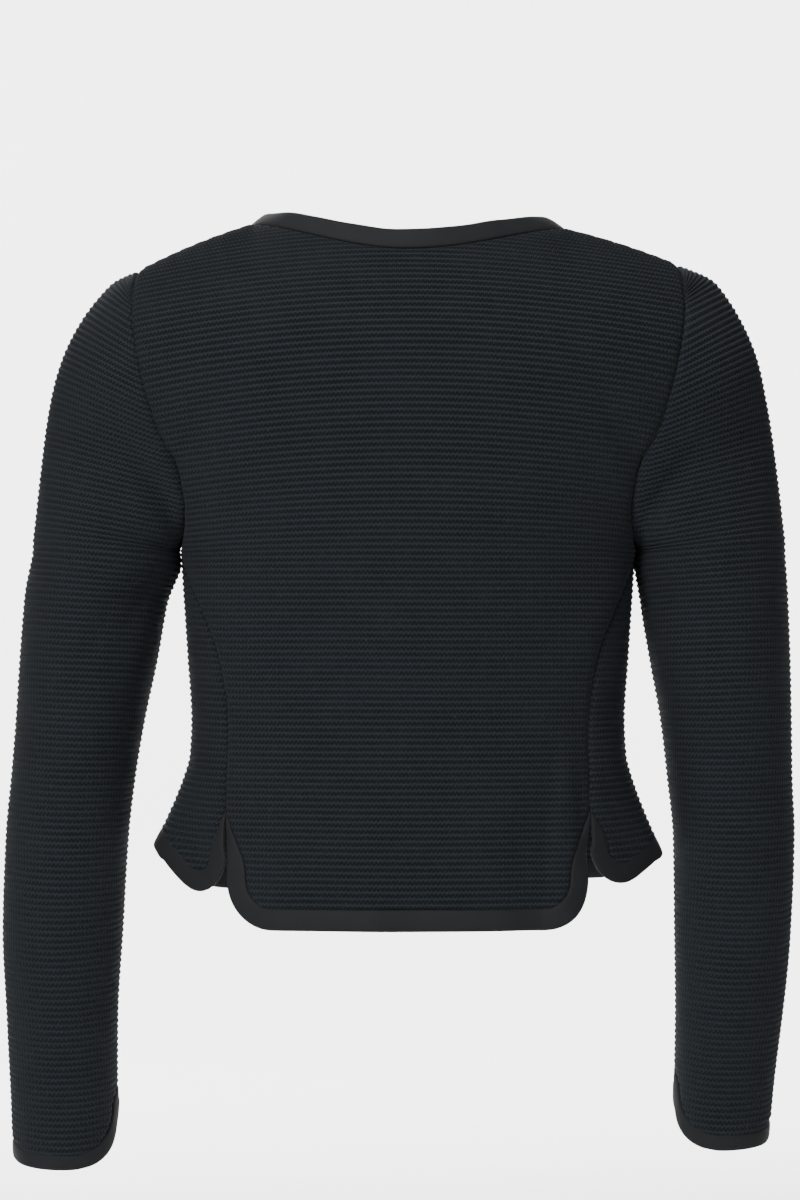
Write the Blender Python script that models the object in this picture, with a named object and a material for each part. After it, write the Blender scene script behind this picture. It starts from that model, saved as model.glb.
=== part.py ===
"""Cropped cardigan in garter stitch, filled out as when it is worn, with no wearer.

The knit pieces are thin walls: back, two fronts and two sleeves, on a torso form and two
sleeve forms that are worked out from short tables of sections. Smooth jersey bands run
along the neck, the front edges, the hems, the side vents and the slit cuffs.

Frame: +X is the wearer's left, -Y the front, +Z up. The origin lies at the centre of the
neck, level with the top of the shoulders. Lengths are in metres, angles in degrees.
"""

import math

import bpy
import numpy as np

# --- cloth -----------------------------------------------------------------------------
KNIT_WALL = 0.0024
SEAM_GAP = 0.0003
BAND_WIDTH = 0.0125
CUFF_BAND_WIDTH = 0.0095
NECK_BAND_GAP = 0.0008
KNIT_COLOUR = (0.013, 0.018, 0.023)
KNIT_ROUGHNESS = 0.92
BAND_COLOUR = (0.019, 0.021, 0.025)
BAND_ROUGHNESS = 0.85


def table(names, *rows):
    """Short table: one named column of numbers for each word of names."""
    return {name: np.array(column) for name, column in zip(names.split(), zip(*rows))}


# --- torso form ------------------------------------------------------------------------
# Level sections, listed by their distance below the origin: half width at the side,
# depth to the back and depth to the front.
TORSO = table(
    "down width back front",
    (-0.010, 0.224, 0.075, 0.066),
    (0.030, 0.224, 0.079, 0.071),
    (0.060, 0.224, 0.083, 0.079),
    (0.090, 0.219, 0.086, 0.087),
    (0.130, 0.205, 0.088, 0.099),
    (0.165, 0.181, 0.088, 0.108),
    (0.195, 0.160, 0.087, 0.113),
    (0.225, 0.1475, 0.084, 0.114),
    (0.252, 0.1455, 0.081, 0.112),
    (0.290, 0.1430, 0.076, 0.106),
    (0.331, 0.1405, 0.073, 0.100),
    (0.370, 0.1430, 0.076, 0.099),
    (0.410, 0.1460, 0.082, 0.102),
    (0.450, 0.1490, 0.088, 0.106),
    (0.475, 0.1500, 0.090, 0.108),
)
SECTION_POWER = 2.3
RIDGE_TOP = 0.0045
ROLL_DEPTH = 0.095

# Armhole from the shoulder point (share 0) to the underarm (share 1): height of the seam,
# height of the same knit row at the centre back, section angles of the back and front
# seams, and how far the sleeve stands off so that the walls clear each other.
ARMHOLE = table(
    "share z centre back front clear",
    (0.000, -0.0375, -0.026, 40.5, -40.5, 0.0012),
    (0.060, -0.0405, -0.031, 40.0, -40.7, 0.0012),
    (0.120, -0.0470, -0.038, 39.6, -41.0, 0.0012),
    (0.170, -0.0560, -0.045, 39.4, -41.2, 0.0012),
    (0.225, -0.0670, -0.054, 39.3, -41.5, 0.0013),
    (0.335, -0.0900, -0.075, 39.2, -42.0, 0.0014),
    (0.430, -0.1120, -0.096, 39.1, -42.0, 0.0015),
    (0.520, -0.1320, -0.117, 38.6, -41.4, 0.0017),
    (0.610, -0.1500, -0.137, 37.2, -39.6, 0.0019),
    (0.690, -0.1670, -0.156, 35.3, -37.0, 0.0022),
    (0.770, -0.1840, -0.175, 31.8, -32.5, 0.0025),
    (0.860, -0.2030, -0.197, 24.0, -24.5, 0.0028),
    (0.940, -0.2160, -0.212, 12.0, -12.0, 0.0030),
    (1.000, -0.2220, -0.220, 0.0, 0.0, 0.0031),
)

# Side seam, which runs from the underarm round to the back: its section angle by height.
SIDE_SEAM = table(
    "down angle",
    (0.222, 0.0),
    (0.232, 9.0),
    (0.242, 16.5),
    (0.262, 26.5),
    (0.286, 33.3),
    (0.318, 36.2),
    (0.373, 37.4),
    (0.430, 40.5),
    (0.470, 42.0),
)
ROW_UNDERARM = 0.222
ROW_VENT = 0.386

# --- neck and front edge ---------------------------------------------------------------
NECK_X = 0.102
NECK_BACK_Z = -0.026
NECK_BACK_POWER = 3.5
NECK_FRONT_DROP = 0.078
NECK_SHARE = 0.52
NECK_STAND = table("share angle", (0.0, 6.0), (0.35, 16.0), (0.5, 20.0), (1.0, 20.0))
FRONT_EDGE_TOP = 0.0153
FRONT_EDGE_HEM = 0.0195
FRONT_ROW_UNDERARM = 0.212
# Depths at which the knit rows no longer follow the shoulder line, and between which the
# rows of the fronts begin to droop outwards.
YOKE_BACK = 0.100
YOKE_FRONT = 0.115
DROOP_START = 0.040
DROOP_FULL = 0.130
FRONT_BAND_START = 0.0021
# How far round its quarter turn the front neckline has come where it meets the front edge.
NECK_FRONT_TURN = 0.904

# --- hems and rounded corners, to the edge of the knit ----------------------------------
BACK_HEM = 0.4495
BACK_CORNER = (0.0185, 0.0225)
FRONT_VENT_CORNER = (0.022, 0.0150)
FRONT_EDGE_CORNER = (0.036, 0.0340)
SECTION_STEP = 0.104

# --- what differs between the two sides, as they hang ------------------------------------
SIDES = {
    "left": {
        "sign": 1,
        "ridge_curve": 1.46,
        "ridge_shift": 0.0031,
        "front_hem": 0.4345,
        "cap_out": (0.0000, 0.0010),
        "flute": {"push": 0.0180, "spread": 15.0, "lift": 0.0325, "lift_spread": 20.0},
    },
    "right": {
        "sign": -1,
        "ridge_curve": 1.13,
        "ridge_shift": -0.0031,
        "front_hem": 0.4275,
        "cap_out": (0.0065, 0.0025),
        "flute": {"push": 0.0160, "spread": 18.0, "lift": 0.0205, "lift_spread": 20.0},
    },
}
FLUTE_TOP = 0.355
FLUTE_HEM = 0.410
FLUTE_POWER = 1.3

# Soft vertical folds below the waist of the back.
BACK_FOLDS = table(
    "x spread top depth",
    (-0.101, 0.0110, 0.300, 0.0035),
    (-0.074, 0.0100, 0.345, -0.0022),
    (0.083, 0.0140, 0.350, 0.0025),
    (0.020, 0.0200, 0.375, 0.0020),
)
FOLD_LENGTH = 0.090

# --- sleeves -----------------------------------------------------------------------------
# Rows of the cap, by the share of the armhole where each begins and ends: the outermost
# point of the row and its half depth from back to front.
SLEEVE_CAP = table(
    "share x_out z_out half_depth",
    (0.120, 0.1840, -0.0370, 0.0400),
    (0.170, 0.1900, -0.0420, 0.0460),
    (0.225, 0.1995, -0.0520, 0.0510),
    (0.335, 0.2105, -0.0670, 0.0590),
    (0.430, 0.2200, -0.0850, 0.0620),
    (0.520, 0.2265, -0.1030, 0.0630),
    (0.610, 0.2310, -0.1215, 0.0625),
    (0.690, 0.2345, -0.1405, 0.0615),
    (0.770, 0.2375, -0.1610, 0.0600),
    (0.860, 0.2405, -0.1840, 0.0580),
    (0.940, 0.2425, -0.2010, 0.0565),
    (1.000, 0.2440, -0.2130, 0.0555),
)
CAP_WIDEST_SHARE = 0.48
CAP_FORWARD = 0.010
CAP_OUT_SHARES = (0.17, 0.60)
# Rings below the underarm: height and distance out of the inner side and of the outer
# side, how far the ring sits forward, and its depth against its width.
SLEEVE_TUBE = {
    "left": table(
        "down x_in x_out rise forward ratio",
        (0.232, 0.1530, 0.2470, 0.0080, 0.006, 1.18),
        (0.252, 0.1585, 0.2500, 0.0060, 0.007, 1.20),
        (0.291, 0.1655, 0.2535, 0.0040, 0.008, 1.21),
        (0.331, 0.1740, 0.2563, 0.0030, 0.010, 1.17),
        (0.370, 0.1805, 0.2597, 0.0020, 0.012, 1.13),
        (0.409, 0.1850, 0.2636, 0.0010, 0.014, 1.11),
        (0.468, 0.1888, 0.2655, 0.0000, 0.018, 1.10),
        (0.527, 0.1925, 0.2620, 0.0000, 0.021, 1.10),
        (0.563, 0.1930, 0.2610, 0.0000, 0.024, 1.09),
        (0.6185, 0.1930, 0.2600, 0.0000, 0.027, 1.08),
    ),
    "right": table(
        "down x_in x_out rise forward ratio",
        (0.232, 0.1520, 0.2470, 0.0080, 0.006, 1.18),
        (0.252, 0.1535, 0.2480, 0.0060, 0.007, 1.20),
        (0.291, 0.1598, 0.2497, 0.0040, 0.008, 1.21),
        (0.331, 0.1670, 0.2508, 0.0030, 0.010, 1.17),
        (0.370, 0.1717, 0.2515, 0.0020, 0.012, 1.13),
        (0.409, 0.1757, 0.2533, 0.0010, 0.014, 1.11),
        (0.468, 0.1768, 0.2508, 0.0000, 0.018, 1.10),
        (0.527, 0.1776, 0.2445, 0.0000, 0.021, 1.10),
        (0.563, 0.1772, 0.2410, 0.0000, 0.024, 1.09),
        (0.6065, 0.1765, 0.2375, 0.0000, 0.026, 1.08),
    ),
}
# Slope of the knit rows from back to front on the forearm, and the depths where it begins
# and is full.
SLEEVE_LEAN = 0.17
LEAN_START = 0.25
LEAN_FULL = 0.55
SLIT_LENGTH = 0.047
SLIT_HALF_GAP = 0.0008
CUFF_CORNER = (0.036, 0.026)

# --- how finely the solids are stepped ---------------------------------------------------
SIDE_ROWS = 10
SIDE_ROWS_BUNCH = 1.5
VENT_SHARES = (0.12, 0.35, 0.65, 1.0)
CORNER_ROWS = 4
NECK_COLUMNS = 6
SHOULDER_COLUMNS = 5
FRONT_COLUMNS = 17
SLEEVE_COLUMNS = 26
TUBE_ROWS = 14
BAND_STEPS = 2
NORMAL_STEP = (0.3, 0.0003)

NECK_ROW = int(np.searchsorted(ARMHOLE["share"], NECK_SHARE))
CAP_TOP_ROW = int(np.searchsorted(ARMHOLE["share"], SLEEVE_CAP["share"][0]))


# --- curves and surfaces -----------------------------------------------------------------
def along(knots, values, at):
    """Smooth curve through the values at rising knots, with no overshoot between them."""
    knots = np.asarray(knots, float)
    values = np.asarray(values, float)
    at = np.clip(at, knots[0], knots[-1])
    step = np.diff(knots)
    rise = np.diff(values) / step
    product = rise[:-1] * rise[1:]
    total = np.where(product > 0, rise[:-1] + rise[1:], 1.0)
    slope = np.concatenate([rise[:1], np.where(product > 0, 2 * product / total, 0.0), rise[-1:]])
    i = np.clip(np.searchsorted(knots, at, side="right") - 1, 0, len(step) - 1)
    t = (at - knots[i]) / step[i]
    ends = values[i] * (1 + 2 * t) * (1 - t) ** 2 + values[i + 1] * t**2 * (3 - 2 * t)
    return ends + step[i] * t * (1 - t) * (slope[i] * (1 - t) - slope[i + 1] * t)


def ramp(value, start, end):
    """0 before start, 1 after end, and a soft step between."""
    t = np.clip((value - start) / (end - start), 0, 1)
    return t * t * (3 - 2 * t)


def ridge(x, side):
    """Height of the shoulder line at a distance from the centre: a parabola."""
    shift = SIDES[side]["ridge_shift"] * ramp(x, 0, NECK_X)
    return RIDGE_TOP + shift - SIDES[side]["ridge_curve"] * x**2


def section_angle(x, z):
    """Section angle, towards the back, at which the form lies a distance x from the centre."""
    width = along(TORSO["down"], TORSO["width"], -z)
    return np.degrees(np.arccos(np.clip(x / width, 0, 1) ** (SECTION_POWER / 2)))


def form(angle, z, side):
    """Points of one half of the torso form.

    Each level section is a superellipse; angle 0 is the side, 90 the centre back and -90
    the centre front. Near the shoulder line the depth closes as a quarter ellipse. Below
    the waist a flute pushes the side out, and the back has soft folds.
    """
    radians = np.radians(angle)
    power = 2 / SECTION_POWER
    width, back, front = (along(TORSO["down"], TORSO[k], -z) for k in ("width", "back", "front"))
    cos = np.clip(np.cos(radians), 0, 1)
    sin = np.sin(radians)
    x = width * cos**power
    y = np.where(sin > 0, back, front) * np.sign(sin) * np.abs(sin) ** power
    drop = np.clip((ridge(x, side) - z) / ROLL_DEPTH, 0, 1)
    y = y * np.sqrt(1 - (1 - drop) ** 2)
    flute = SIDES[side]["flute"]
    reach = np.clip((-z - FLUTE_TOP) / (FLUTE_HEM - FLUTE_TOP), 0, 1) ** FLUTE_POWER
    push = flute["push"] * reach * np.exp(-((angle / flute["spread"]) ** 2))
    x = x + push * cos
    y = y + push * sin
    for place, spread, top, depth in zip(*BACK_FOLDS.values()):
        bump = depth * np.exp(-(((x * SIDES[side]["sign"] - place) / spread) ** 2))
        y = y + np.where(sin > 0, bump * ramp(-z, top, top + FOLD_LENGTH), 0)
    return np.stack([x * SIDES[side]["sign"], y, z], axis=-1)


def normal_of(surface, u, v, side):
    """Unit normal of a surface of two values, outwards, from a small step either way."""
    across = surface(u + NORMAL_STEP[0], v, side) - surface(u - NORMAL_STEP[0], v, side)
    down = surface(u, v - NORMAL_STEP[1], side) - surface(u, v + NORMAL_STEP[1], side)
    normal = np.cross(down, across) * SIDES[side]["sign"]
    return normal / np.linalg.norm(normal, axis=-1, keepdims=True)


def lifted(angle, z, side):
    """Height of a knit row where the flute carries it up."""
    flute = SIDES[side]["flute"]
    share = np.clip((-z - FLUTE_TOP) / (SIDES[side]["front_hem"] - FLUTE_TOP), 0, 1.2)
    return z + flute["lift"] * share**FLUTE_POWER * np.exp(-((angle / flute["lift_spread"]) ** 2))


def armhole_rows(side):
    """Height of the armhole seam at each listed share, ending on this side's shoulder."""
    x = TORSO["width"][0] * math.cos(math.radians(ARMHOLE["back"][0])) ** (2 / SECTION_POWER)
    return ARMHOLE["z"] + (ridge(x, side) - ARMHOLE["z"][0]) * (1 - ARMHOLE["share"]) ** 3


def outer_edge(side, panel):
    """Section angle and row height of a panel's outer edge, from the shoulder to the hem."""
    toward = 1 if panel == "back" else -1
    hem = BACK_HEM if panel == "back" else SIDES[side]["front_hem"]
    round_x, round_z = BACK_CORNER if panel == "back" else FRONT_VENT_CORNER
    straight_end = hem - round_z
    down = np.concatenate([
        side_rows(ROW_UNDERARM),
        vent_rows(straight_end),
    ])
    band = BAND_WIDTH * ramp(down, ROW_VENT, straight_end)
    clear = np.where(band > 0, 1.5 * SEAM_GAP, 0.5 * SEAM_GAP)
    inset = toward * np.degrees((clear + band) / SECTION_STEP)
    seam = along(SIDE_SEAM["down"], SIDE_SEAM["angle"], down) + inset
    turn = np.linspace(0, np.pi / 2, CORNER_ROWS + 1)[1:]
    corner = seam[-1] + toward * np.degrees(round_x / SECTION_STEP) * (1 - np.cos(turn))
    corner_down = straight_end + round_z * np.sin(turn)
    armhole = ARMHOLE[panel] + toward * np.degrees(SEAM_GAP / 2 / SECTION_STEP)
    angle = np.concatenate([armhole, seam, corner])
    z = np.concatenate([armhole_rows(side), -down, -corner_down])
    width = np.concatenate([np.zeros(len(armhole)), band, np.full(CORNER_ROWS, BAND_WIDTH)])
    return angle, z, width


def side_rows(start):
    """Row heights from the underarm to the top of a side vent, closer at the underarm."""
    share = np.linspace(0, 1, SIDE_ROWS + 1)[1:] ** SIDE_ROWS_BUNCH
    return start + (ROW_VENT - start) * share


def vent_rows(end):
    """Row heights from the top of a side vent to the end of its straight edge."""
    return ROW_VENT + (end - ROW_VENT) * np.array(VENT_SHARES)


def back_half(side):
    """Grid of one half of the back: rows of knit from the neck down, columns outwards."""
    angle, z_edge, width = outer_edge(side, "back")
    x_edge = np.abs(form(angle, z_edge, side)[:, 0])
    rows_below = len(z_edge) - len(ARMHOLE["share"])
    z_centre = np.concatenate([ARMHOLE["centre"], z_edge[-rows_below:]])
    neck = NECK_X / x_edge[0]
    u = np.concatenate([
        np.linspace(0, neck, NECK_COLUMNS + 1),
        np.linspace(neck, 1, SHOULDER_COLUMNS + 1)[1:],
    ])
    x = u * x_edge[:, None]
    z = z_centre[:, None] + (z_edge - z_centre)[:, None] * u**2
    top = u * x_edge[0]
    neckline = np.clip(1 - (top / NECK_X) ** 2, 0, 1) ** (NECK_BACK_POWER / 2)
    ridge_neck = ridge(NECK_X, side)
    cut = np.where(top < NECK_X, ridge_neck + (NECK_BACK_Z - ridge_neck) * neckline, ridge(top, side))
    z = z + (cut - z[0]) * (1 - ramp(-z_centre, -z_centre[0], YOKE_BACK))[:, None]
    angle = section_angle(x, z)
    grid = form(angle, z, side)
    grid[0, :, 1] = np.maximum(grid[0, :, 1], SEAM_GAP / 2)
    return grid, normal_of(form, angle, z, side), width


def front_grid(side):
    """Grid of one front: rows of knit from the shoulder down, columns from the front edge."""
    angle_out, z_out, width = outer_edge(side, "front")
    hem = SIDES[side]["front_hem"]
    cap_rows = len(ARMHOLE["share"])
    turn = np.linspace(0, np.pi / 2, NECK_ROW + 1) * NECK_FRONT_TURN
    neck_x = NECK_X * np.cos(turn)
    neck_z = ridge(NECK_X, side) - NECK_FRONT_DROP * np.sin(turn)
    neck_x[-1] = FRONT_EDGE_TOP
    corner_x, corner_z = FRONT_EDGE_CORNER
    straight_end = hem - corner_z
    edge_down = np.concatenate([
        np.linspace(-neck_z[-1], FRONT_ROW_UNDERARM, cap_rows - NECK_ROW)[1:],
        side_rows(FRONT_ROW_UNDERARM),
        vent_rows(straight_end),
    ])
    edge_x = np.interp(edge_down, [-neck_z[-1], hem], [FRONT_EDGE_TOP, FRONT_EDGE_HEM])
    turn = np.linspace(0, np.pi / 2, CORNER_ROWS + 1)[1:]
    x_in = np.concatenate([neck_x, edge_x, edge_x[-1] + corner_x * (1 - np.cos(turn))])
    z_in = np.concatenate([neck_z, -edge_down, -straight_end - corner_z * np.sin(turn)])
    angle_in = -section_angle(x_in, z_in)
    u = np.linspace(0, 1, FRONT_COLUMNS + 1)
    angle = angle_in[:, None] + (angle_out - angle_in)[:, None] * u
    bend = 1 + ramp(-z_out, DROOP_START, DROOP_FULL)[:, None]
    z = z_in[:, None] + (z_out - z_in)[:, None] * u**bend
    top_x = TORSO["width"][0] * np.cos(np.radians(angle[0])) ** (2 / SECTION_POWER)
    fade = 1 - ramp(-z_out, -z_out[0], YOKE_FRONT)
    z = z + (ridge(top_x, side) - z[0]) * fade[:, None]
    z[:, 0] = z_in
    z = lifted(angle, z, side)
    grid = form(angle, z, side)
    grid[0, :, 1] = np.minimum(grid[0, :, 1], -SEAM_GAP / 2)
    return grid, normal_of(form, angle, z, side), width


def sleeve_row(inner, outer, half_depth, across, opening):
    """One row round a sleeve: an elliptical arc from the inner side round the outer side.

    inner is the middle of its two ends, outer its farthest point and across the unit
    vector from back to front; opening is the half angle of the arc, a half turn for a ring.
    """
    turn = np.linspace(-1, 1, SLEEVE_COLUMNS + 1) * opening
    outward = (np.cos(turn) - math.cos(opening)) / (1 - math.cos(opening))
    return inner + np.outer(outward, outer - inner) + np.outer(half_depth * np.sin(turn), across)


def tube_form(turn, z, side):
    """Points of one sleeve below the underarm; turn 0 is the outer side, 180 the inner."""
    turn = np.radians(turn)
    tube = SLEEVE_TUBE[side]
    x_in, x_out, rise, forward, ratio = (along(tube["down"], tube[k], -z)
                                         for k in ("x_in", "x_out", "rise", "forward", "ratio"))
    outward = (np.cos(turn) + 1) / 2
    side_step = ratio * (x_out - x_in) / 2 * np.sin(turn)
    x = x_in + (x_out - x_in) * outward
    z = z + rise * outward - SLEEVE_LEAN * ramp(-z, LEAN_START, LEAN_FULL) * side_step
    return np.stack([x * SIDES[side]["sign"], side_step - forward, z], axis=-1)


def sleeve_grid(side):
    """Grid of one sleeve, the rows where it closes as a tube and the row where it slits.

    Rows of knit run from the top of the cap to the cuff and columns from the back edge,
    round the outer side, to the front edge. Ends of the cap rows lie on the armhole.
    """
    sign = SIDES[side]["sign"]
    z_hole = armhole_rows(side)
    back, front = (form(ARMHOLE[k], z_hole, side) * [sign, 1, 1] for k in ("back", "front"))
    back[:, 0] += ARMHOLE["clear"]
    front[:, 0] += ARMHOLE["clear"]
    drop = z_hole - ARMHOLE["z"]
    first = CAP_TOP_ROW
    crown = np.concatenate([back[first::-1], front[1:first + 1]])
    reach = np.concatenate([[0], np.cumsum(np.linalg.norm(np.diff(crown, axis=0), axis=1))])
    even = np.linspace(0, reach[-1], SLEEVE_COLUMNS + 1)
    rows = [np.stack([np.interp(even, reach, crown[:, k]) for k in range(3)], axis=-1)]
    for i in range(first + 1, len(z_hole)):
        share = ARMHOLE["share"][i]
        inner = (back[i] + front[i]) / 2
        x, z, half_depth = (along(SLEEVE_CAP["share"], SLEEVE_CAP[k], share)
                            for k in ("x_out", "z_out", "half_depth"))
        x += np.interp(share, CAP_OUT_SHARES, SIDES[side]["cap_out"])
        outer = np.array([x, -CAP_FORWARD, z + drop[i]])
        half_seam = np.linalg.norm(front[i] - back[i]) / 2
        across = np.array([0.0, -1.0, 0.0])
        opening = math.asin(min(half_seam / half_depth, 1))
        if share > CAP_WIDEST_SHARE:
            opening = math.pi - opening
        if half_seam > SEAM_GAP:
            across = (front[i] - back[i]) / (2 * half_seam)
            half_depth = half_seam / math.sin(opening)
        rows.append(sleeve_row(inner, outer, half_depth, across, opening))
    tube = SLEEVE_TUBE[side]
    end = tube["down"][-1] - CUFF_BAND_WIDTH
    corner_x, corner_z = CUFF_CORNER
    slit = tube["down"][-1] - SLIT_LENGTH
    turn = np.linspace(0, np.pi / 2, CORNER_ROWS + 1)[1:]
    down = np.concatenate([
        np.linspace(tube["down"][0], slit, TUBE_ROWS),
        slit + (end - corner_z - slit) * np.array(VENT_SHARES),
        end - corner_z + corner_z * np.sin(turn),
    ])
    band = CUFF_BAND_WIDTH * ramp(down, slit, end - corner_z)
    away = np.where(band > 0, SLIT_HALF_GAP + SEAM_GAP + band, 0)
    away[-CORNER_ROWS:] += corner_x * (1 - np.cos(turn))
    half_depth = along(tube["down"], tube["ratio"] * (tube["x_out"] - tube["x_in"]) / 2, down)
    opening = 180 - np.degrees(away / half_depth)
    turn = np.outer(opening, np.linspace(1, -1, SLEEVE_COLUMNS + 1))
    z = np.broadcast_to(-down[:, None], turn.shape)
    grid = np.concatenate([np.array(rows) * [sign, 1, 1], tube_form(turn, z, side)])
    normal = outward_normals(grid, grid.mean(axis=1)[:, None])
    normal[len(rows):] = normal_of(tube_form, turn, z, side)
    widths = np.concatenate([np.zeros(len(rows)), band])
    return grid, normal, widths, len(rows) - 1, len(rows) - 1 + TUBE_ROWS


def outward_normals(grid, centre):
    """Unit normal at each point of a grid, pointing away from the centre line."""
    normal = np.cross(np.gradient(grid, axis=0), np.gradient(grid, axis=1))
    normal /= np.linalg.norm(normal, axis=-1, keepdims=True)
    away = (normal * (grid - centre)).sum()
    return normal * (1 if away > 0 else -1)


def strip(edge, normal, width, gap, stand=0.0, turn=1):
    """Band that carries a cloth edge on, a gap away, at a stand angle to it.

    Gives its grid of points and their normals.
    """
    step = np.diff(edge, axis=0)
    step /= np.linalg.norm(step, axis=-1, keepdims=True)
    tangent = np.concatenate([step[:1], step[:-1] + step[1:], step[-1:]])
    out = turn * np.cross(tangent, normal)
    out /= np.linalg.norm(out, axis=-1, keepdims=True)
    stand = np.radians(np.broadcast_to(stand, len(edge)))[:, None]
    leave = out * np.cos(stand) + normal * np.sin(stand)
    facing = normal * np.cos(stand) - out * np.sin(stand)
    width = np.broadcast_to(width, len(edge))[:, None]
    steps = np.linspace(0, 1, BAND_STEPS + 1)
    grid = np.array([edge + leave * (gap + width * step) for step in steps])
    return grid, np.array([facing] * len(steps))


# --- objects -----------------------------------------------------------------------------
def cloth_material(name, colour, roughness):
    """Principled material of one cloth."""
    material = bpy.data.materials.new(name)
    material.use_nodes = True
    shader = material.node_tree.nodes["Principled BSDF"]
    shader.inputs["Base Color"].default_value = (*colour, 1.0)
    shader.inputs["Roughness"].default_value = roughness
    shader.inputs["Metallic"].default_value = 0.0
    return material


def cloth(name, grid, normal, material, closed_rows=()):
    """Wall of even thickness on a grid; its edge columns are one where the rows close.

    The outer and inner faces lie half a wall out and in along the normals, and quads
    along the free edges join them.
    """
    rows, columns = grid.shape[:2]
    index = np.arange(rows * columns).reshape(rows, columns)
    for row in closed_rows:
        index[row, -1] = index[row, 0]
    quads = np.stack([index[:-1, :-1], index[1:, :-1], index[1:, 1:], index[:-1, 1:]], axis=-1)
    facing = np.cross(grid[1, 0] - grid[0, 0], grid[0, 1] - grid[0, 0])
    if (facing * normal[0, 0]).sum() < 0:
        quads = quads[..., ::-1]
    used, compact = np.unique(quads, return_inverse=True)
    outer = compact.reshape(-1, 4)
    count = len(used)
    edges = np.concatenate([outer[:, [k, (k + 1) % 4]] for k in range(4)])
    forward = edges[:, 0] * count + edges[:, 1]
    backward = edges[:, 1] * count + edges[:, 0]
    free = edges[~np.isin(backward, forward)]
    rim = np.stack([free[:, 1], free[:, 0], free[:, 0] + count, free[:, 1] + count], axis=-1)
    half = normal.reshape(-1, 3)[used] * KNIT_WALL / 2
    points = grid.reshape(-1, 3)[used]
    points = np.concatenate([points + half, points - half])
    faces = np.concatenate([outer, outer[:, ::-1] + count, rim])
    mesh = bpy.data.meshes.new(name)
    mesh.from_pydata(points.tolist(), [], faces.tolist())
    mesh.validate()
    mesh.shade_smooth()
    piece = bpy.data.objects.new(name, mesh)
    bpy.context.scene.collection.objects.link(piece)
    mesh.materials.append(material)
    return piece


def build_torso(knit, jersey):
    """Back and fronts with the bands of their hems, vents, front edges and neck."""
    halves = [back_half(side) for side in ("right", "left")]
    back, back_normal = (np.concatenate([halves[0][k][:, :0:-1], halves[1][k]], axis=1)
                         for k in (0, 1))
    cloth("back", back, back_normal, knit)
    widths = np.full(back.shape[:2], BAND_WIDTH)
    widths[:, 0] = halves[0][2]
    widths[:, -1] = halves[1][2]
    first = len(ARMHOLE["share"]) + SIDE_ROWS
    edge, normal, width = (boundary(a, first, first) for a in (back, back_normal, widths))
    cloth("band_hem_back", *strip(edge, normal, width, SEAM_GAP, turn=-1), jersey)
    necks = {}
    for side, sign in (("left", 1), ("right", -1)):
        grid, normal, outer_width = front_grid(side)
        cloth(f"front_{side}", grid, normal, knit)
        necks[side] = (grid[:NECK_ROW + 1, 0], normal[:NECK_ROW + 1, 0])
        widths = np.full(grid.shape[:2], BAND_WIDTH)
        widths[:, -1] = outer_width
        edge, edge_normal, width = (boundary(a, NECK_ROW, first) for a in (grid, normal, widths))
        down = edge[1] - edge[0]
        edge[0] += down * FRONT_BAND_START / np.linalg.norm(down)
        cloth(f"band_front_{side}", *strip(edge, edge_normal, width, SEAM_GAP, turn=sign), jersey)
    build_neck_band(back, back_normal, necks, jersey)


def boundary(values, start_row, end_row):
    """Values down the first column, along the last row and up the last column."""
    return np.concatenate([values[start_row:, 0], values[-1, 1:-1], values[end_row:, -1][::-1]])


def build_neck_band(back, back_normal, necks, jersey):
    """Band round the neck, from one front edge over the shoulders to the other."""
    middle = back.shape[1] // 2
    around = slice(middle - NECK_COLUMNS, middle + NECK_COLUMNS + 1)
    front, front_normal = necks["right"]
    other, other_normal = necks["left"]
    edge = np.concatenate([front[:0:-1], back[0, around], other[1:]])
    normal = np.concatenate([front_normal[:0:-1], back_normal[0, around], other_normal[1:]])
    for end, inside in ((0, 1), (-1, -2)):
        step = edge[end] - edge[inside]
        more = edge[end] + step / np.linalg.norm(step) * (BAND_WIDTH + SEAM_GAP)
        edge = np.insert(edge, 0 if end == 0 else len(edge), more, axis=0)
        normal = np.insert(normal, 0 if end == 0 else len(normal), normal[end], axis=0)
    reach = np.linspace(-1, 1, len(edge))
    stand = along(NECK_STAND["share"], NECK_STAND["angle"], 1 - np.abs(reach))
    cloth("band_neck", *strip(edge, normal, BAND_WIDTH, NECK_BAND_GAP, stand, turn=1), jersey)


def build_sleeves(knit, jersey):
    """Both sleeves and the bands of their slit cuffs."""
    for side, sign in (("left", 1), ("right", -1)):
        grid, normal, widths, tube, slit = sleeve_grid(side)
        cloth(f"sleeve_{side}", grid, normal, knit, closed_rows=range(tube, slit + 1))
        edge, edge_normal = (boundary(a, slit + 1, slit + 1) for a in (grid, normal))
        width = boundary(np.repeat(widths[:, None], grid.shape[1], axis=1), slit + 1, slit + 1)
        cloth(f"band_cuff_{side}", *strip(edge, edge_normal, width, SEAM_GAP, turn=-sign), jersey)


def main():
    for thing in list(bpy.data.objects):
        bpy.data.objects.remove(thing)
    knit = cloth_material("garter_knit", KNIT_COLOUR, KNIT_ROUGHNESS)
    jersey = cloth_material("jersey_band", BAND_COLOUR, BAND_ROUGHNESS)
    build_torso(knit, jersey)
    build_sleeves(knit, jersey)


main()
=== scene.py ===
"""Looks of a cropped cardigan in garter stitch, seen from the back and filled out as worn.

Every panel is a closed shell of knit cloth over the form of its solid, with the ridges of
the garter rows raised in the mesh and their zigzag of loops in the material. Smooth
jersey bands edge the neck, fronts, hems, vents and cuffs. Lengths are in metres, angles
in degrees; +X is the wearer's left, +Y the back and +Z up.
"""

import math

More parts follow.
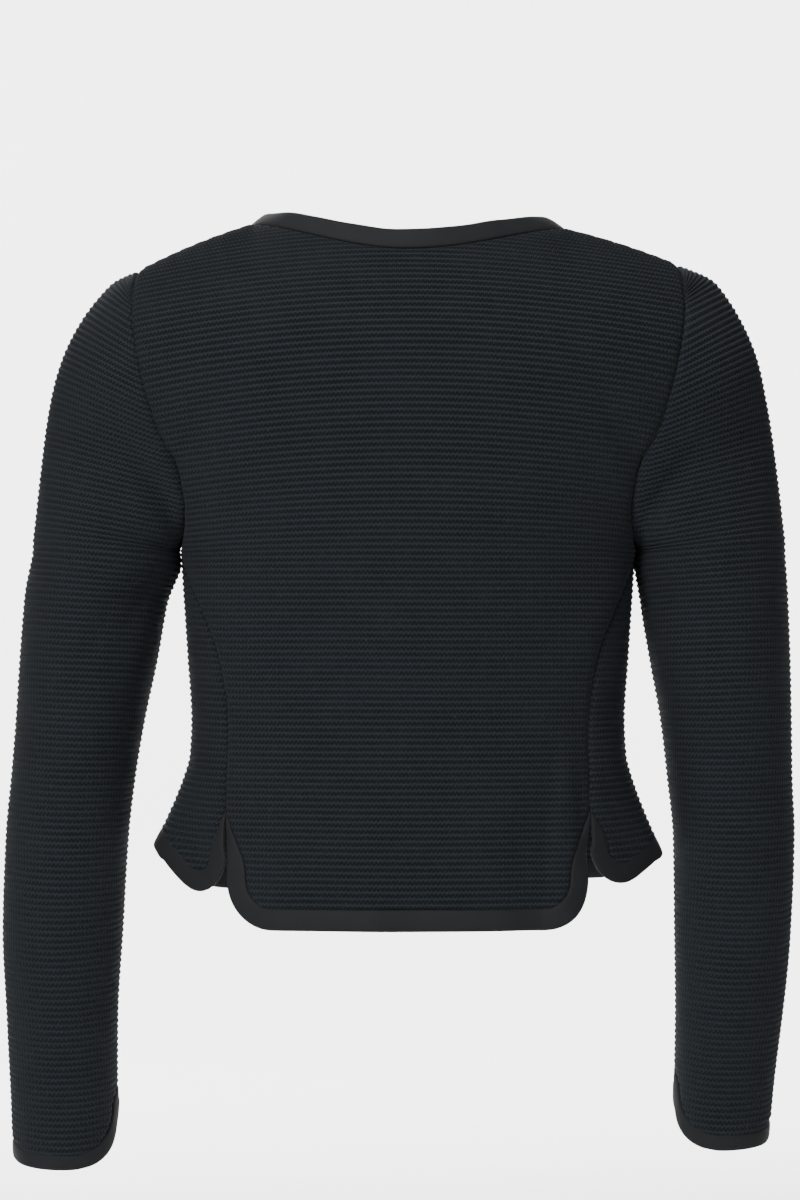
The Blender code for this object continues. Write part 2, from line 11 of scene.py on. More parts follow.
import bpy
import numpy as np
from bpy.props import FloatProperty, FloatVectorProperty, PointerProperty
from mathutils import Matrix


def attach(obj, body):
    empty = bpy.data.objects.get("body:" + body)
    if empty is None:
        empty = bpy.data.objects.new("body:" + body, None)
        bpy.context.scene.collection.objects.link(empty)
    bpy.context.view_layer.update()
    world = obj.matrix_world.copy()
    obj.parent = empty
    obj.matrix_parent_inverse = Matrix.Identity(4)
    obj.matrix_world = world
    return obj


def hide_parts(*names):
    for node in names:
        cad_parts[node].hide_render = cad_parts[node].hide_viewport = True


bl_info = {
    "name": "Garter-stitch cardigan",
    "version": (1, 0, 0),
    "blender": (4, 5, 0),
    "location": "3D View > Sidebar > Cardigan",
    "description": "Builds the knit panels, the jersey bands and the stage of a cardigan",
    "category": "Object",
}

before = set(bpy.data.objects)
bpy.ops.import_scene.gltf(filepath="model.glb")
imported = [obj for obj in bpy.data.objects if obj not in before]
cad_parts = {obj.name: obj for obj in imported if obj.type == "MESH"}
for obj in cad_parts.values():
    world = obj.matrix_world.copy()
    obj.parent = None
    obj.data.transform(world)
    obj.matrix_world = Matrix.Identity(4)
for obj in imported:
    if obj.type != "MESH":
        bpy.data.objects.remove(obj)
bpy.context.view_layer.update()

# --- cloth ---
KNIT_WALL = 0.0024
SEAM_GAP = 0.0003
BAND_WIDTH = 0.0125
CUFF_BAND_WIDTH = 0.0095


def table(names, *rows):
    """Short table: one named column of numbers for each word of names."""
    return {name: np.array(column) for name, column in zip(names.split(), zip(*rows))}


# --- torso form ---
# Level sections, listed by their distance below the origin: half width at the side,
# depth to the back and depth to the front.
TORSO = table(
    "down width back front",
    (-0.010, 0.224, 0.075, 0.066),
    (0.030, 0.224, 0.079, 0.071),
    (0.060, 0.224, 0.083, 0.079),
    (0.090, 0.219, 0.086, 0.087),
    (0.130, 0.205, 0.088, 0.099),
    (0.165, 0.181, 0.088, 0.108),
    (0.195, 0.160, 0.087, 0.113),
    (0.225, 0.1475, 0.084, 0.114),
    (0.252, 0.1455, 0.081, 0.112),
    (0.290, 0.1430, 0.076, 0.106),
    (0.331, 0.1405, 0.073, 0.100),
    (0.370, 0.1430, 0.076, 0.099),
    (0.410, 0.1460, 0.082, 0.102),
    (0.450, 0.1490, 0.088, 0.106),
    (0.475, 0.1500, 0.090, 0.108),
)
SECTION_POWER = 2.3
RIDGE_TOP = 0.0045
ROLL_DEPTH = 0.095

# Armhole from the shoulder point (share 0) to the underarm (share 1): height of the seam,
# height of the same knit row at the centre back, section angles of the back and front
# seams, and how far the sleeve stands off so that the walls clear each other.
ARMHOLE = table(
    "share z centre back front clear",
    (0.000, -0.0375, -0.026, 40.5, -40.5, 0.0012),
    (0.060, -0.0405, -0.031, 40.0, -40.7, 0.0012),
    (0.120, -0.0470, -0.038, 39.6, -41.0, 0.0012),
    (0.170, -0.0560, -0.045, 39.4, -41.2, 0.0012),
    (0.225, -0.0670, -0.054, 39.3, -41.5, 0.0013),
    (0.335, -0.0900, -0.075, 39.2, -42.0, 0.0014),
    (0.430, -0.1120, -0.096, 39.1, -42.0, 0.0015),
    (0.520, -0.1320, -0.117, 38.6, -41.4, 0.0017),
    (0.610, -0.1500, -0.137, 37.2, -39.6, 0.0019),
    (0.690, -0.1670, -0.156, 35.3, -37.0, 0.0022),
    (0.770, -0.1840, -0.175, 31.8, -32.5, 0.0025),
    (0.860, -0.2030, -0.197, 24.0, -24.5, 0.0028),
    (0.940, -0.2160, -0.212, 12.0, -12.0, 0.0030),
    (1.000, -0.2220, -0.220, 0.0, 0.0, 0.0031),
)

# Side seam, which runs from the underarm round to the back: its section angle by height.
SIDE_SEAM = table(
    "down angle",
    (0.222, 0.0),
    (0.232, 9.0),
    (0.242, 16.5),
    (0.262, 26.5),
    (0.286, 33.3),
    (0.318, 36.2),
    (0.373, 37.4),
    (0.430, 40.5),
    (0.470, 42.0),
)
ROW_UNDERARM = 0.222
ROW_VENT = 0.386

# --- neck and front edge ---
NECK_X = 0.102
NECK_BACK_Z = -0.026
NECK_BACK_POWER = 3.5
NECK_FRONT_DROP = 0.078
NECK_SHARE = 0.52
NECK_STAND = table("share angle", (0.0, 6.0), (0.35, 16.0), (0.5, 20.0), (1.0, 20.0))
FRONT_EDGE_TOP = 0.0153
FRONT_EDGE_HEM = 0.0195
FRONT_ROW_UNDERARM = 0.212
# Depths at which the knit rows no longer follow the shoulder line, and between which the
# rows of the fronts begin to droop outwards.
YOKE_BACK = 0.100
YOKE_FRONT = 0.115
DROOP_START = 0.040
DROOP_FULL = 0.130
# How far round its quarter turn the front neckline has come where it meets the front edge.
NECK_FRONT_TURN = 0.904

# --- hems and rounded corners, to the edge of the knit ---
BACK_HEM = 0.4495
BACK_CORNER = (0.0185, 0.0225)
FRONT_VENT_CORNER = (0.022, 0.0150)
FRONT_EDGE_CORNER = (0.036, 0.0340)
SECTION_STEP = 0.104

# --- what differs between the two sides, as they hang ---
SIDES = {
    "left": {
        "sign": 1,
        "ridge_curve": 1.46,
        "ridge_shift": 0.0031,
        "front_hem": 0.4345,
        "cap_out": (0.0000, 0.0010),
        "flute": {"push": 0.0180, "spread": 15.0, "lift": 0.0325, "lift_spread": 20.0},
    },
    "right": {
        "sign": -1,
        "ridge_curve": 1.13,
        "ridge_shift": -0.0031,
        "front_hem": 0.4275,
        "cap_out": (0.0065, 0.0025),
        "flute": {"push": 0.0160, "spread": 18.0, "lift": 0.0205, "lift_spread": 20.0},
    },
}
FLUTE_TOP = 0.355
FLUTE_HEM = 0.410
FLUTE_POWER = 1.3

# Soft vertical folds below the waist of the back.
BACK_FOLDS = table(
    "x spread top depth",
    (-0.101, 0.0110, 0.300, 0.0035),
    (-0.074, 0.0100, 0.345, -0.0022),
    (0.083, 0.0140, 0.350, 0.0025),
    (0.020, 0.0200, 0.375, 0.0020),
)
FOLD_LENGTH = 0.090

# --- sleeves ---
# Rows of the cap, by the share of the armhole where each begins and ends: the outermost
# point of the row and its half depth from back to front.
SLEEVE_CAP = table(
    "share x_out z_out half_depth",
    (0.120, 0.1840, -0.0370, 0.0400),
    (0.170, 0.1900, -0.0420, 0.0460),
    (0.225, 0.1995, -0.0520, 0.0510),
    (0.335, 0.2105, -0.0670, 0.0590),
    (0.430, 0.2200, -0.0850, 0.0620),
    (0.520, 0.2265, -0.1030, 0.0630),
    (0.610, 0.2310, -0.1215, 0.0625),
    (0.690, 0.2345, -0.1405, 0.0615),
    (0.770, 0.2375, -0.1610, 0.0600),
    (0.860, 0.2405, -0.1840, 0.0580),
    (0.940, 0.2425, -0.2010, 0.0565),
    (1.000, 0.2440, -0.2130, 0.0555),
)
CAP_WIDEST_SHARE = 0.48
CAP_FORWARD = 0.010
CAP_OUT_SHARES = (0.17, 0.60)
# Rings below the underarm: height and distance out of the inner side and of the outer
# side, how far the ring sits forward, and its depth against its width.
SLEEVE_TUBE = {
    "left": table(
        "down x_in x_out rise forward ratio",
        (0.232, 0.1530, 0.2470, 0.0080, 0.006, 1.18),
        (0.252, 0.1585, 0.2500, 0.0060, 0.007, 1.20),
        (0.291, 0.1655, 0.2535, 0.0040, 0.008, 1.21),
        (0.331, 0.1740, 0.2563, 0.0030, 0.010, 1.17),
        (0.370, 0.1805, 0.2597, 0.0020, 0.012, 1.13),
        (0.409, 0.1850, 0.2636, 0.0010, 0.014, 1.11),
        (0.468, 0.1888, 0.2655, 0.0000, 0.018, 1.10),
        (0.527, 0.1925, 0.2620, 0.0000, 0.021, 1.10),
        (0.563, 0.1930, 0.2610, 0.0000, 0.024, 1.09),
        (0.6185, 0.1930, 0.2600, 0.0000, 0.027, 1.08),
    ),
    "right": table(
        "down x_in x_out rise forward ratio",
        (0.232, 0.1520, 0.2470, 0.0080, 0.006, 1.18),
        (0.252, 0.1535, 0.2480, 0.0060, 0.007, 1.20),
        (0.291, 0.1598, 0.2497, 0.0040, 0.008, 1.21),
        (0.331, 0.1670, 0.2508, 0.0030, 0.010, 1.17),
        (0.370, 0.1717, 0.2515, 0.0020, 0.012, 1.13),
        (0.409, 0.1757, 0.2533, 0.0010, 0.014, 1.11),
        (0.468, 0.1768, 0.2508, 0.0000, 0.018, 1.10),
        (0.527, 0.1776, 0.2445, 0.0000, 0.021, 1.10),
        (0.563, 0.1772, 0.2410, 0.0000, 0.024, 1.09),
        (0.6065, 0.1765, 0.2375, 0.0000, 0.026, 1.08),
    ),
}
# Slope of the knit rows from back to front on the forearm, and the depths where it begins
# and is full.
SLEEVE_LEAN = 0.17
LEAN_START = 0.25
LEAN_FULL = 0.55
SLIT_LENGTH = 0.047
SLIT_HALF_GAP = 0.0008
CUFF_CORNER = (0.036, 0.026)

# --- how finely the cloth is stepped ---
# Steps down each garter ridge, columns across each panel, and how many columns of the outer
# layer go to one of the inner.
STEPS_A_RIDGE = 5
BACK_COLUMNS = 120
FRONT_COLUMNS = 80
SLEEVE_COLUMNS = 104
NECK_COLUMNS = 40
INNER_COLUMN_STEP = 4
# Power that bunches the rows of the side seam at the underarm, and the column whose length
# sets the rows of a torso panel.
SIDE_ROWS_BUNCH = 1.5
YOKE_COLUMN = 0.8
# Steps in angle and in height from which a normal is taken.
NORMAL_STEP = (0.3, 0.0003)
# Samples of a column from which its rows are worked out, the power that bunches them at
# its top, and the row value at the foot of every panel.
PATH_POINTS = 4001
PATH_POWER = 1.6
LAST_ROW = 4.0
# How much of the solids' stand-off at the armhole the sleeve keeps, and the share of the
# armhole over which its rows take up the line of the crown.
CAP_STAND_OFF = 0.2
CROWN_BLEND_SHARE = 0.20
# How far the sleeve keeps the form of the cap below the underarm, and the row value beyond
# which its normals are those of the tube.
CAP_FADE = 0.035
TUBE_NORMAL_ROW = 2.2
# How far the edge of a sleeve or front goes under the panel that is sewn over it, the row
# values of the side between which that begins and then ends, and the shares of the armhole
# between which it ends on the sleeve.
SEAM_TUCK = 0.0018
SIDE_TUCK_BEGINS = (1.0, 1.03)
SIDE_TUCK_ENDS = (1.9, 2.0)
CAP_TUCK_ENDS = (0.9, 1.0)
# Depth above which the knit rows of the fronts lie level.
LEVEL_FRONT = 0.340
# Row value by which the centre back lies as low as its outer edge, share of the front
# neckline's turn from which it runs into the front edge, and how far past the hem of the
# front, against its flute's length, the rows go on rising.
CENTRE_BLEND_ROW = 1.2
NECK_BLEND_TURN = 0.8
LIFT_LIMIT = 1.2
# Depth over which a vent or a slit opens to its gap, and the row values at which the bands
# of the vents and of the slits begin.
GAP_OPENING = 0.004
VENT_BAND_ROW = 2.02
SLIT_BAND_ROW = 2.03
# Unevenness of the ridges' height, and its two waves by stitch and by ridge.
UNEVEN = 0.18
UNEVEN_WAVES = ((0.9, 2.3), (0.31, -1.7))
# How far a band's inner edge laps over the edge of the knit that it is sewn on, the spacing
# of its sections, the points round each, the power that rounds it, and the most that half
# its thickness can be of its width.
BAND_LAP = 0.0014
BAND_STEP = 0.0022
BAND_SIDES = 16
BAND_ROUNDING = 0.62
BAND_TAPER = 0.6
# Waves of a band's ripple: share, waves in radians a metre and start.
RIPPLE_WAVES = ((1.0, 131, 1), (0.7, 73, 0), (0.5, 211, 0))
# How many points of the neckline's end give the direction in which its band goes on.
NECK_LEAD = 4

NECK_ROW = int(np.searchsorted(ARMHOLE["share"], NECK_SHARE))
NECK_END_SHARE = float(ARMHOLE["share"][NECK_ROW])
ROW_NUMBERS = np.arange(len(ARMHOLE["share"]))
SHOULDER_X = TORSO["width"][0] * math.cos(math.radians(ARMHOLE["back"][0])) ** (2 / SECTION_POWER)

# Depth at which the folds are drawn, against the depths listed.
FOLD_DEPTH = 1.5

# Soft troughs (below 0) and ridges of the cloth. On the torso a fold's place is x and on
# a sleeve it is the turn from its outer side in degrees, with the back towards +90.
FOLDS = {
    "back": table(
        "place z wide long depth tilt",
        (-0.112, -0.395, 0.0060, 0.055, -0.0016, 0.05),
        (-0.088, -0.405, 0.0055, 0.060, -0.0014, -0.08),
        (-0.140, -0.150, 0.0120, 0.050, -0.0022, 0.55),
        (0.145, -0.160, 0.0110, 0.045, -0.0018, -0.60),
        (0.118, -0.255, 0.0160, 0.060, 0.0016, 0.35),
        (-0.120, -0.262, 0.0140, 0.060, 0.0014, -0.40),
        (0.040, -0.330, 0.0300, 0.080, -0.0012, 0.10),
        (-0.030, -0.210, 0.0350, 0.090, 0.0010, 0.00),
        (0.060, -0.420, 0.0180, 0.045, 0.0014, 0.10),
        (-0.010, -0.430, 0.0200, 0.040, -0.0012, -0.05),
    ),
    "front": table(
        "place z wide long depth tilt",
        (0.140, -0.170, 0.0110, 0.045, -0.0020, -0.50),
        (-0.138, -0.165, 0.0120, 0.045, -0.0018, 0.55),
        (0.070, -0.380, 0.0150, 0.060, 0.0018, 0.10),
        (-0.062, -0.390, 0.0160, 0.055, 0.0016, -0.12),
        (0.105, -0.370, 0.0120, 0.060, -0.0016, 0.06),
        (-0.100, -0.375, 0.0130, 0.060, -0.0015, -0.05),
        (0.045, -0.240, 0.0260, 0.070, 0.0012, 0.20),
        (-0.050, -0.250, 0.0240, 0.070, 0.0012, -0.18),
    ),
    "sleeve_left": table(
        "place z wide long depth tilt",
        (161.0, -0.188, 12.0, 0.030, -0.0036, -620.0),
        (128.0, -0.262, 14.0, 0.034, -0.0018, 420.0),
        (100.0, -0.275, 13.0, 0.038, -0.0018, 500.0),
        (-160.0, -0.192, 13.0, 0.028, -0.0028, 580.0),
        (-130.0, -0.258, 15.0, 0.040, -0.0020, -400.0),
        (30.0, -0.120, 26.0, 0.060, 0.0012, 120.0),
        (75.0, -0.395, 34.0, 0.013, -0.0014, 260.0),
        (60.0, -0.425, 30.0, 0.012, -0.0011, -180.0),
        (-60.0, -0.410, 36.0, 0.014, -0.0016, 200.0),
        (120.0, -0.480, 28.0, 0.020, -0.0012, 150.0),
        (15.0, -0.530, 22.0, 0.050, 0.0010, 40.0),
        (95.0, -0.575, 18.0, 0.030, -0.0010, 60.0),
    ),
    "sleeve_right": table(
        "place z wide long depth tilt",
        (159.0, -0.190, 12.0, 0.028, -0.0034, -600.0),
        (126.0, -0.258, 15.0, 0.036, -0.0018, 460.0),
        (98.0, -0.270, 12.0, 0.040, -0.0020, 420.0),
        (-158.0, -0.188, 12.0, 0.030, -0.0030, 600.0),
        (-132.0, -0.252, 14.0, 0.040, -0.0020, -420.0),
        (40.0, -0.130, 24.0, 0.055, 0.0011, 100.0),
        (80.0, -0.385, 32.0, 0.012, -0.0013, -220.0),
        (52.0, -0.415, 32.0, 0.013, -0.0012, 160.0),
        (-70.0, -0.400, 34.0, 0.014, -0.0015, -190.0),
        (110.0, -0.470, 26.0, 0.022, -0.0013, -120.0),
        (20.0, -0.520, 24.0, 0.045, 0.0010, -30.0),
        (90.0, -0.560, 20.0, 0.028, -0.0009, 50.0),
    ),
}

# Photograph's viewpoint: level with the middle of the garment, behind it.
CAMERA_PLACE = (0.00524, 2.5, -0.252175)
CAMERA_LENS = 76.34
SENSOR_HEIGHT = 24.0

# Floor: half width, near edge, where it turns up behind, how round, and top of the backdrop.
FLOOR_HALF_WIDTH = 1.5
FLOOR_NEAR = 4.0
COVE_START = -2.0
COVE_RADIUS = 1.2
COVE_STEPS = 25
BACKDROP_TOP = 4.0


# --- curves and surfaces ---
def along(knots, values, at):
    """Smooth curve through the values at rising knots, with no overshoot between them."""
    knots = np.asarray(knots, float)
    values = np.asarray(values, float)
    at = np.clip(at, knots[0], knots[-1])
    step = np.diff(knots)
    rise = np.diff(values) / step
    product = rise[:-1] * rise[1:]
    total = np.where(product > 0, rise[:-1] + rise[1:], 1.0)
    slope = np.concatenate([rise[:1], np.where(product > 0, 2 * product / total, 0.0), rise[-1:]])
    i = np.clip(np.searchsorted(knots, at, side="right") - 1, 0, len(step) - 1)
    t = (at - knots[i]) / step[i]
    ends = values[i] * (1 + 2 * t) * (1 - t) ** 2 + values[i + 1] * t**2 * (3 - 2 * t)
    return ends + step[i] * t * (1 - t) * (slope[i] * (1 - t) - slope[i + 1] * t)


def read(listed, name, at):
    """Column of a table, smooth between its rows, at values of its first column."""
    return along(next(iter(listed.values())), listed[name], at)


def ramp(value, start, end):
    """0 before start, 1 after end, and a soft step between."""
    t = np.clip((value - start) / (end - start), 0, 1)
    return t * t * (3 - 2 * t)


def ridge(x, side):
    """Height of the shoulder line at a distance from the centre: a parabola."""
    shift = SIDES[side]["ridge_shift"] * ramp(x, 0, NECK_X)
    return RIDGE_TOP + shift - SIDES[side]["ridge_curve"] * x**2


def section_angle(x, z):
    """Section angle, towards the back, at which the form lies a distance x from the centre."""
    width = read(TORSO, "width", -z)
    return np.degrees(np.arccos(np.clip(x / width, 0, 1) ** (SECTION_POWER / 2)))


def form(angle, z, side):
    """Points of one half of the torso form.

    Each level section is a superellipse; angle 0 is the side, 90 the centre back and -90
    the centre front. Near the shoulder line the depth closes as a quarter ellipse. Below
    the waist a flute pushes the side out, and the back has soft folds.
    """
    radians = np.radians(angle)
    power = 2 / SECTION_POWER
    width, back, front = (read(TORSO, k, -z) for k in ("width", "back", "front"))
    cos = np.clip(np.cos(radians), 0, 1)
    sin = np.sin(radians)
    x = width * cos**power
    y = np.where(sin > 0, back, front) * np.sign(sin) * np.abs(sin) ** power
    drop = np.clip((ridge(x, side) - z) / ROLL_DEPTH, 0, 1)
    y = y * np.sqrt(1 - (1 - drop) ** 2)
    flute = SIDES[side]["flute"]
    reach = np.clip((-z - FLUTE_TOP) / (FLUTE_HEM - FLUTE_TOP), 0, 1) ** FLUTE_POWER
    push = flute["push"] * reach * np.exp(-((angle / flute["spread"]) ** 2))
    x = x + push * cos
    y = y + push * sin
    for place, spread, top, depth in zip(*BACK_FOLDS.values()):
        bump = depth * np.exp(-(((x * SIDES[side]["sign"] - place) / spread) ** 2))
        y = y + np.where(sin > 0, bump * ramp(-z, top, top + FOLD_LENGTH), 0)
    return np.stack([x * SIDES[side]["sign"], y, z], axis=-1)


def normal_of(surface, u, v, side):
    """Unit normal of a surface of two values, outwards, from a small step either way."""
    across = surface(u + NORMAL_STEP[0], v, side) - surface(u - NORMAL_STEP[0], v, side)
    down = surface(u, v - NORMAL_STEP[1], side) - surface(u, v + NORMAL_STEP[1], side)
    normal = np.cross(down, across) * SIDES[side]["sign"]
    return normal / np.linalg.norm(normal, axis=-1, keepdims=True)


def lifted(angle, z, side):
    """Height of a knit row where the flute carries it up."""
    flute = SIDES[side]["flute"]
    share = np.clip((-z - FLUTE_TOP) / (SIDES[side]["front_hem"] - FLUTE_TOP), 0, LIFT_LIMIT)
    return z + flute["lift"] * share**FLUTE_POWER * np.exp(-((angle / flute["lift_spread"]) ** 2))


def armhole_height(share, side):
    """Height of the armhole seam at a share of its way, from this side's shoulder line."""
    z = read(ARMHOLE, "z", share)
    return z + (ridge(SHOULDER_X, side) - ARMHOLE["z"][0]) * (1 - share) ** 3


def outer_edge(side, panel, row):
    """Section angle, height and band width along a panel's outer edge.

    row runs 0 to 1 down the armhole, to 2 down the side seam, to 3 down the vent and to 4
    round its corner, which is a quarter ellipse.
    """
    toward = 1 if panel == "back" else -1
    hem = BACK_HEM if panel == "back" else SIDES[side]["front_hem"]
    round_x, round_z = BACK_CORNER if panel == "back" else FRONT_VENT_CORNER
    end = hem - round_z
    down = side_depth(ROW_UNDERARM, end, row)
    turn = np.clip(row - 3, 0, 1) * math.pi / 2
    band = BAND_WIDTH * ramp(down, ROW_VENT, end)
    clear = SEAM_GAP * (0.5 + ramp(down, ROW_VENT, ROW_VENT + GAP_OPENING))
    inset = clear + band + round_x * (1 - np.cos(turn))
    seam = read(SIDE_SEAM, "angle", down)
    hole = read(ARMHOLE, panel, np.clip(row, 0, 1))
    angle = np.where(row < 1, hole, seam) + toward * np.degrees(inset / SECTION_STEP)
    z_seam = -down - round_z * np.sin(turn)
    z = np.where(row < 1, armhole_height(np.clip(row, 0, 1), side), z_seam)
    return angle, z, band


def side_depth(start, end, row):
    """Depth below the origin of a row on the side seam (1 to 2) or beside the vent (2 to 3)."""
    seam = start + (ROW_VENT - start) * np.clip(row - 1, 0, 1) ** SIDE_ROWS_BUNCH
    return np.where(row < 2, seam, ROW_VENT + (end - ROW_VENT) * np.clip(row - 2, 0, 1))


def back_half(side, row, u):
    """Points and normals of one half of the back; u runs from the centre to the outer edge.

    Rows of knit droop outwards as the square of u. At the top they give way to the
    neckline, a raised power of a circle, and to the shoulder line.
    """
    angle, z_edge, band = outer_edge(side, "back", row)
    x_edge = np.abs(form(angle, z_edge, side)[:, 0])
    centre = read(ARMHOLE, "centre", np.clip(row, 0, 1))
    z_centre = np.where(row < 1, centre, z_edge + (centre[-1] - z_edge[row < 1][-1])
                        * (1 - ramp(row, 1, CENTRE_BLEND_ROW)))
    x = u * x_edge[:, None]
    z = z_centre[:, None] + (z_edge - z_centre)[:, None] * u**2
    top = u * x_edge[0]
    neckline = np.clip(1 - (top / NECK_X) ** 2, 0, 1) ** (NECK_BACK_POWER / 2)
    ridge_neck = ridge(NECK_X, side)
    cut = np.where(top < NECK_X, ridge_neck + (NECK_BACK_Z - ridge_neck) * neckline, ridge(top, side))
    z = z + (cut - z[0]) * (1 - ramp(-z_centre, -z_centre[0], YOKE_BACK))[:, None]
    angle = section_angle(x, z)
    grid = form(angle, z, side)
    grid[0, :, 1] = np.maximum(grid[0, :, 1], SEAM_GAP / 2)
    return grid, normal_of(form, angle, z, side), band


def tuck(side, angle, z, toward):
    """Step from a seam to under the cloth that laps over it.

    It goes a tuck along the form, where toward is the sign of the section angle, and as
    far inwards.
    """
    ahead = form(angle + toward, z, side) - form(angle, z, side)
    ahead /= np.linalg.norm(ahead, axis=-1, keepdims=True)
    return SEAM_TUCK * (ahead - normal_of(form, angle, z, side))


def front_half(side, row, u):
    """Points and normals of one front; u runs from the front edge to the outer edge."""
    angle_out, z_out, band = outer_edge(side, "front", row)
    hem = SIDES[side]["front_hem"]
    number = along(ARMHOLE["share"], ROW_NUMBERS, np.clip(row, 0, 1))
    full = NECK_FRONT_TURN * math.pi / 2
    turn = np.clip(number / NECK_ROW, 0, 1) * full
    neck_z = ridge(NECK_X, side) - NECK_FRONT_DROP * np.sin(turn)
    neck_end = ridge(NECK_X, side) - NECK_FRONT_DROP * math.sin(full)
    neck_x = NECK_X * np.cos(turn)
    to_edge = ramp(turn, NECK_BLEND_TURN * full, full)
    neck_x = neck_x + (FRONT_EDGE_TOP - NECK_X * math.cos(full)) * to_edge
    below = np.clip((number - NECK_ROW) / (ROW_NUMBERS[-1] - NECK_ROW), 0, 1)
    corner_x, corner_z = FRONT_EDGE_CORNER
    end = hem - corner_z
    depth = np.where(row < 1, -neck_end + (FRONT_ROW_UNDERARM + neck_end) * below,
                     side_depth(FRONT_ROW_UNDERARM, end, row))
    edge_x = np.interp(depth, [-neck_end, hem], [FRONT_EDGE_TOP, FRONT_EDGE_HEM])
    round_turn = np.clip(row - 3, 0, 1) * math.pi / 2
    on_neck = number < NECK_ROW
    x_in = np.where(on_neck, neck_x, edge_x + corner_x * (1 - np.cos(round_turn)))
    z_in = np.where(on_neck, neck_z, -depth - corner_z * np.sin(round_turn))
    angle_in = -section_angle(x_in, z_in)
    angle = angle_in[:, None] + (angle_out - angle_in)[:, None] * u
    bend = 1 + ramp(-z_out, DROOP_START, DROOP_FULL)[:, None]
    z = z_in[:, None] + (z_out - z_in)[:, None] * u**bend
    top_x = TORSO["width"][0] * np.cos(np.radians(angle[0])) ** (2 / SECTION_POWER)
    z = z + (ridge(top_x, side) - z[0]) * (1 - ramp(-z_out, -z_out[0], YOKE_FRONT))[:, None]
    z[:, 0] = z_in
    z = lifted(angle, z, side)
    grid = form(angle, z, side)
    normal = normal_of(form, angle, z, side)
    seam = ramp(row, *SIDE_TUCK_BEGINS) * (1 - ramp(row, *SIDE_TUCK_ENDS))
    grid[:, -1] += seam[:, None] * tuck(side, angle[:, -1], z[:, -1], 1)
    grid[0, 1:] += tuck(side, angle[0, 1:], z[0, 1:], 1)
    return grid, normal, band


def tube_form(turn, z, side):
    """Points of one sleeve below the underarm; turn 0 is the outer side, 180 the inner."""
    turn = np.radians(turn)
    tube = SLEEVE_TUBE[side]
    x_in, x_out, rise, forward, ratio = (read(tube, k, -z)
                                         for k in ("x_in", "x_out", "rise", "forward", "ratio"))
    outward = (np.cos(turn) + 1) / 2
    side_step = ratio * (x_out - x_in) / 2 * np.sin(turn)
    x = x_in + (x_out - x_in) * outward
    z = z + rise * outward - SLEEVE_LEAN * ramp(-z, LEAN_START, LEAN_FULL) * side_step
    return np.stack([x * SIDES[side]["sign"], side_step - forward, z], axis=-1)


def sleeve_cap(side, share, u):
    """Points of the cap: each row is an elliptical arc between its two points of the armhole.

    u runs from 1 at the back seam to -1 at the front seam. The arc's opening and half depth
    are worked out at the listed shares and carried smoothly between them.
    """
    sign = SIDES[side]["sign"]
    shares = ARMHOLE["share"][ARMHOLE["share"] >= SLEEVE_CAP["share"][0]]

    def seam_ends(at):
        ends = []
        for panel in ("back", "front"):
            point = form(read(ARMHOLE, panel, at), armhole_height(at, side), side)
            point = point * [sign, 1, 1]
            point[:, 0] += CAP_STAND_OFF * read(ARMHOLE, "clear", at)
            ends.append(point)
        return ends

    back, front = seam_ends(shares)
    half_seam = np.linalg.norm(front - back, axis=-1) / 2
    half_depth = read(SLEEVE_CAP, "half_depth", shares)
    opening = np.arcsin(np.clip(half_seam / half_depth, 0, 1))
    opening = np.where(shares > CAP_WIDEST_SHARE, math.pi - opening, opening)
    closing = half_seam < 1e-4
    half_depth = np.where(closing, half_depth, half_seam / np.sin(np.where(closing, 1, opening)))
    opening, half_depth = (along(shares, v, share)[:, None] for v in (opening, half_depth))
    back, front = seam_ends(share)
    half_seam = np.linalg.norm(front - back, axis=-1)[:, None] / 2
    across = (back - front) / np.maximum(2 * half_seam, 1e-6)
    across[half_seam[:, 0] < 1e-3] = (0, 1, 0)
    x, z = (read(SLEEVE_CAP, k, share) for k in ("x_out", "z_out"))
    x = x + along(CAP_OUT_SHARES, SIDES[side]["cap_out"], share)
    z = z + armhole_height(share, side) - read(ARMHOLE, "z", share)
    outer = np.stack([x, np.full_like(x, -CAP_FORWARD), z], axis=-1)
    inner = (back + front) / 2
    turn = u * opening
    outward = (np.cos(turn) - np.cos(opening)) / (1 - np.cos(opening))
    aside = half_depth * np.sin(turn) + u * (half_seam - half_depth * np.sin(opening))
    grid = inner[:, None] + outward[..., None] * (outer - inner)[:, None]
    grid = grid + aside[..., None] * across[:, None]
    return grid * [sign, 1, 1]


def crown_line(side, u):
    """Section angles and heights along the top of the armhole, from back to front."""
    share = SLEEVE_CAP["share"][0] * np.abs(u)
    angle = np.where(u > 0, read(ARMHOLE, "back", share), read(ARMHOLE, "front", share))
    return angle, armhole_height(share, side)


def cap_crown(side, u):
    """Points along the top of the armhole, from the back over the shoulder to the front."""
    crown = form(*crown_line(side, u), side)
    crown[:, 0] += SIDES[side]["sign"] * CAP_STAND_OFF * ARMHOLE["clear"][0]
    return crown


def crown_tuck(side, u):
    """Step from the top of the armhole to under the back and the front."""
    angle, z = crown_line(side, u)
    return np.where((u > 0)[:, None], tuck(side, angle, z, 1), tuck(side, angle, z, -1))


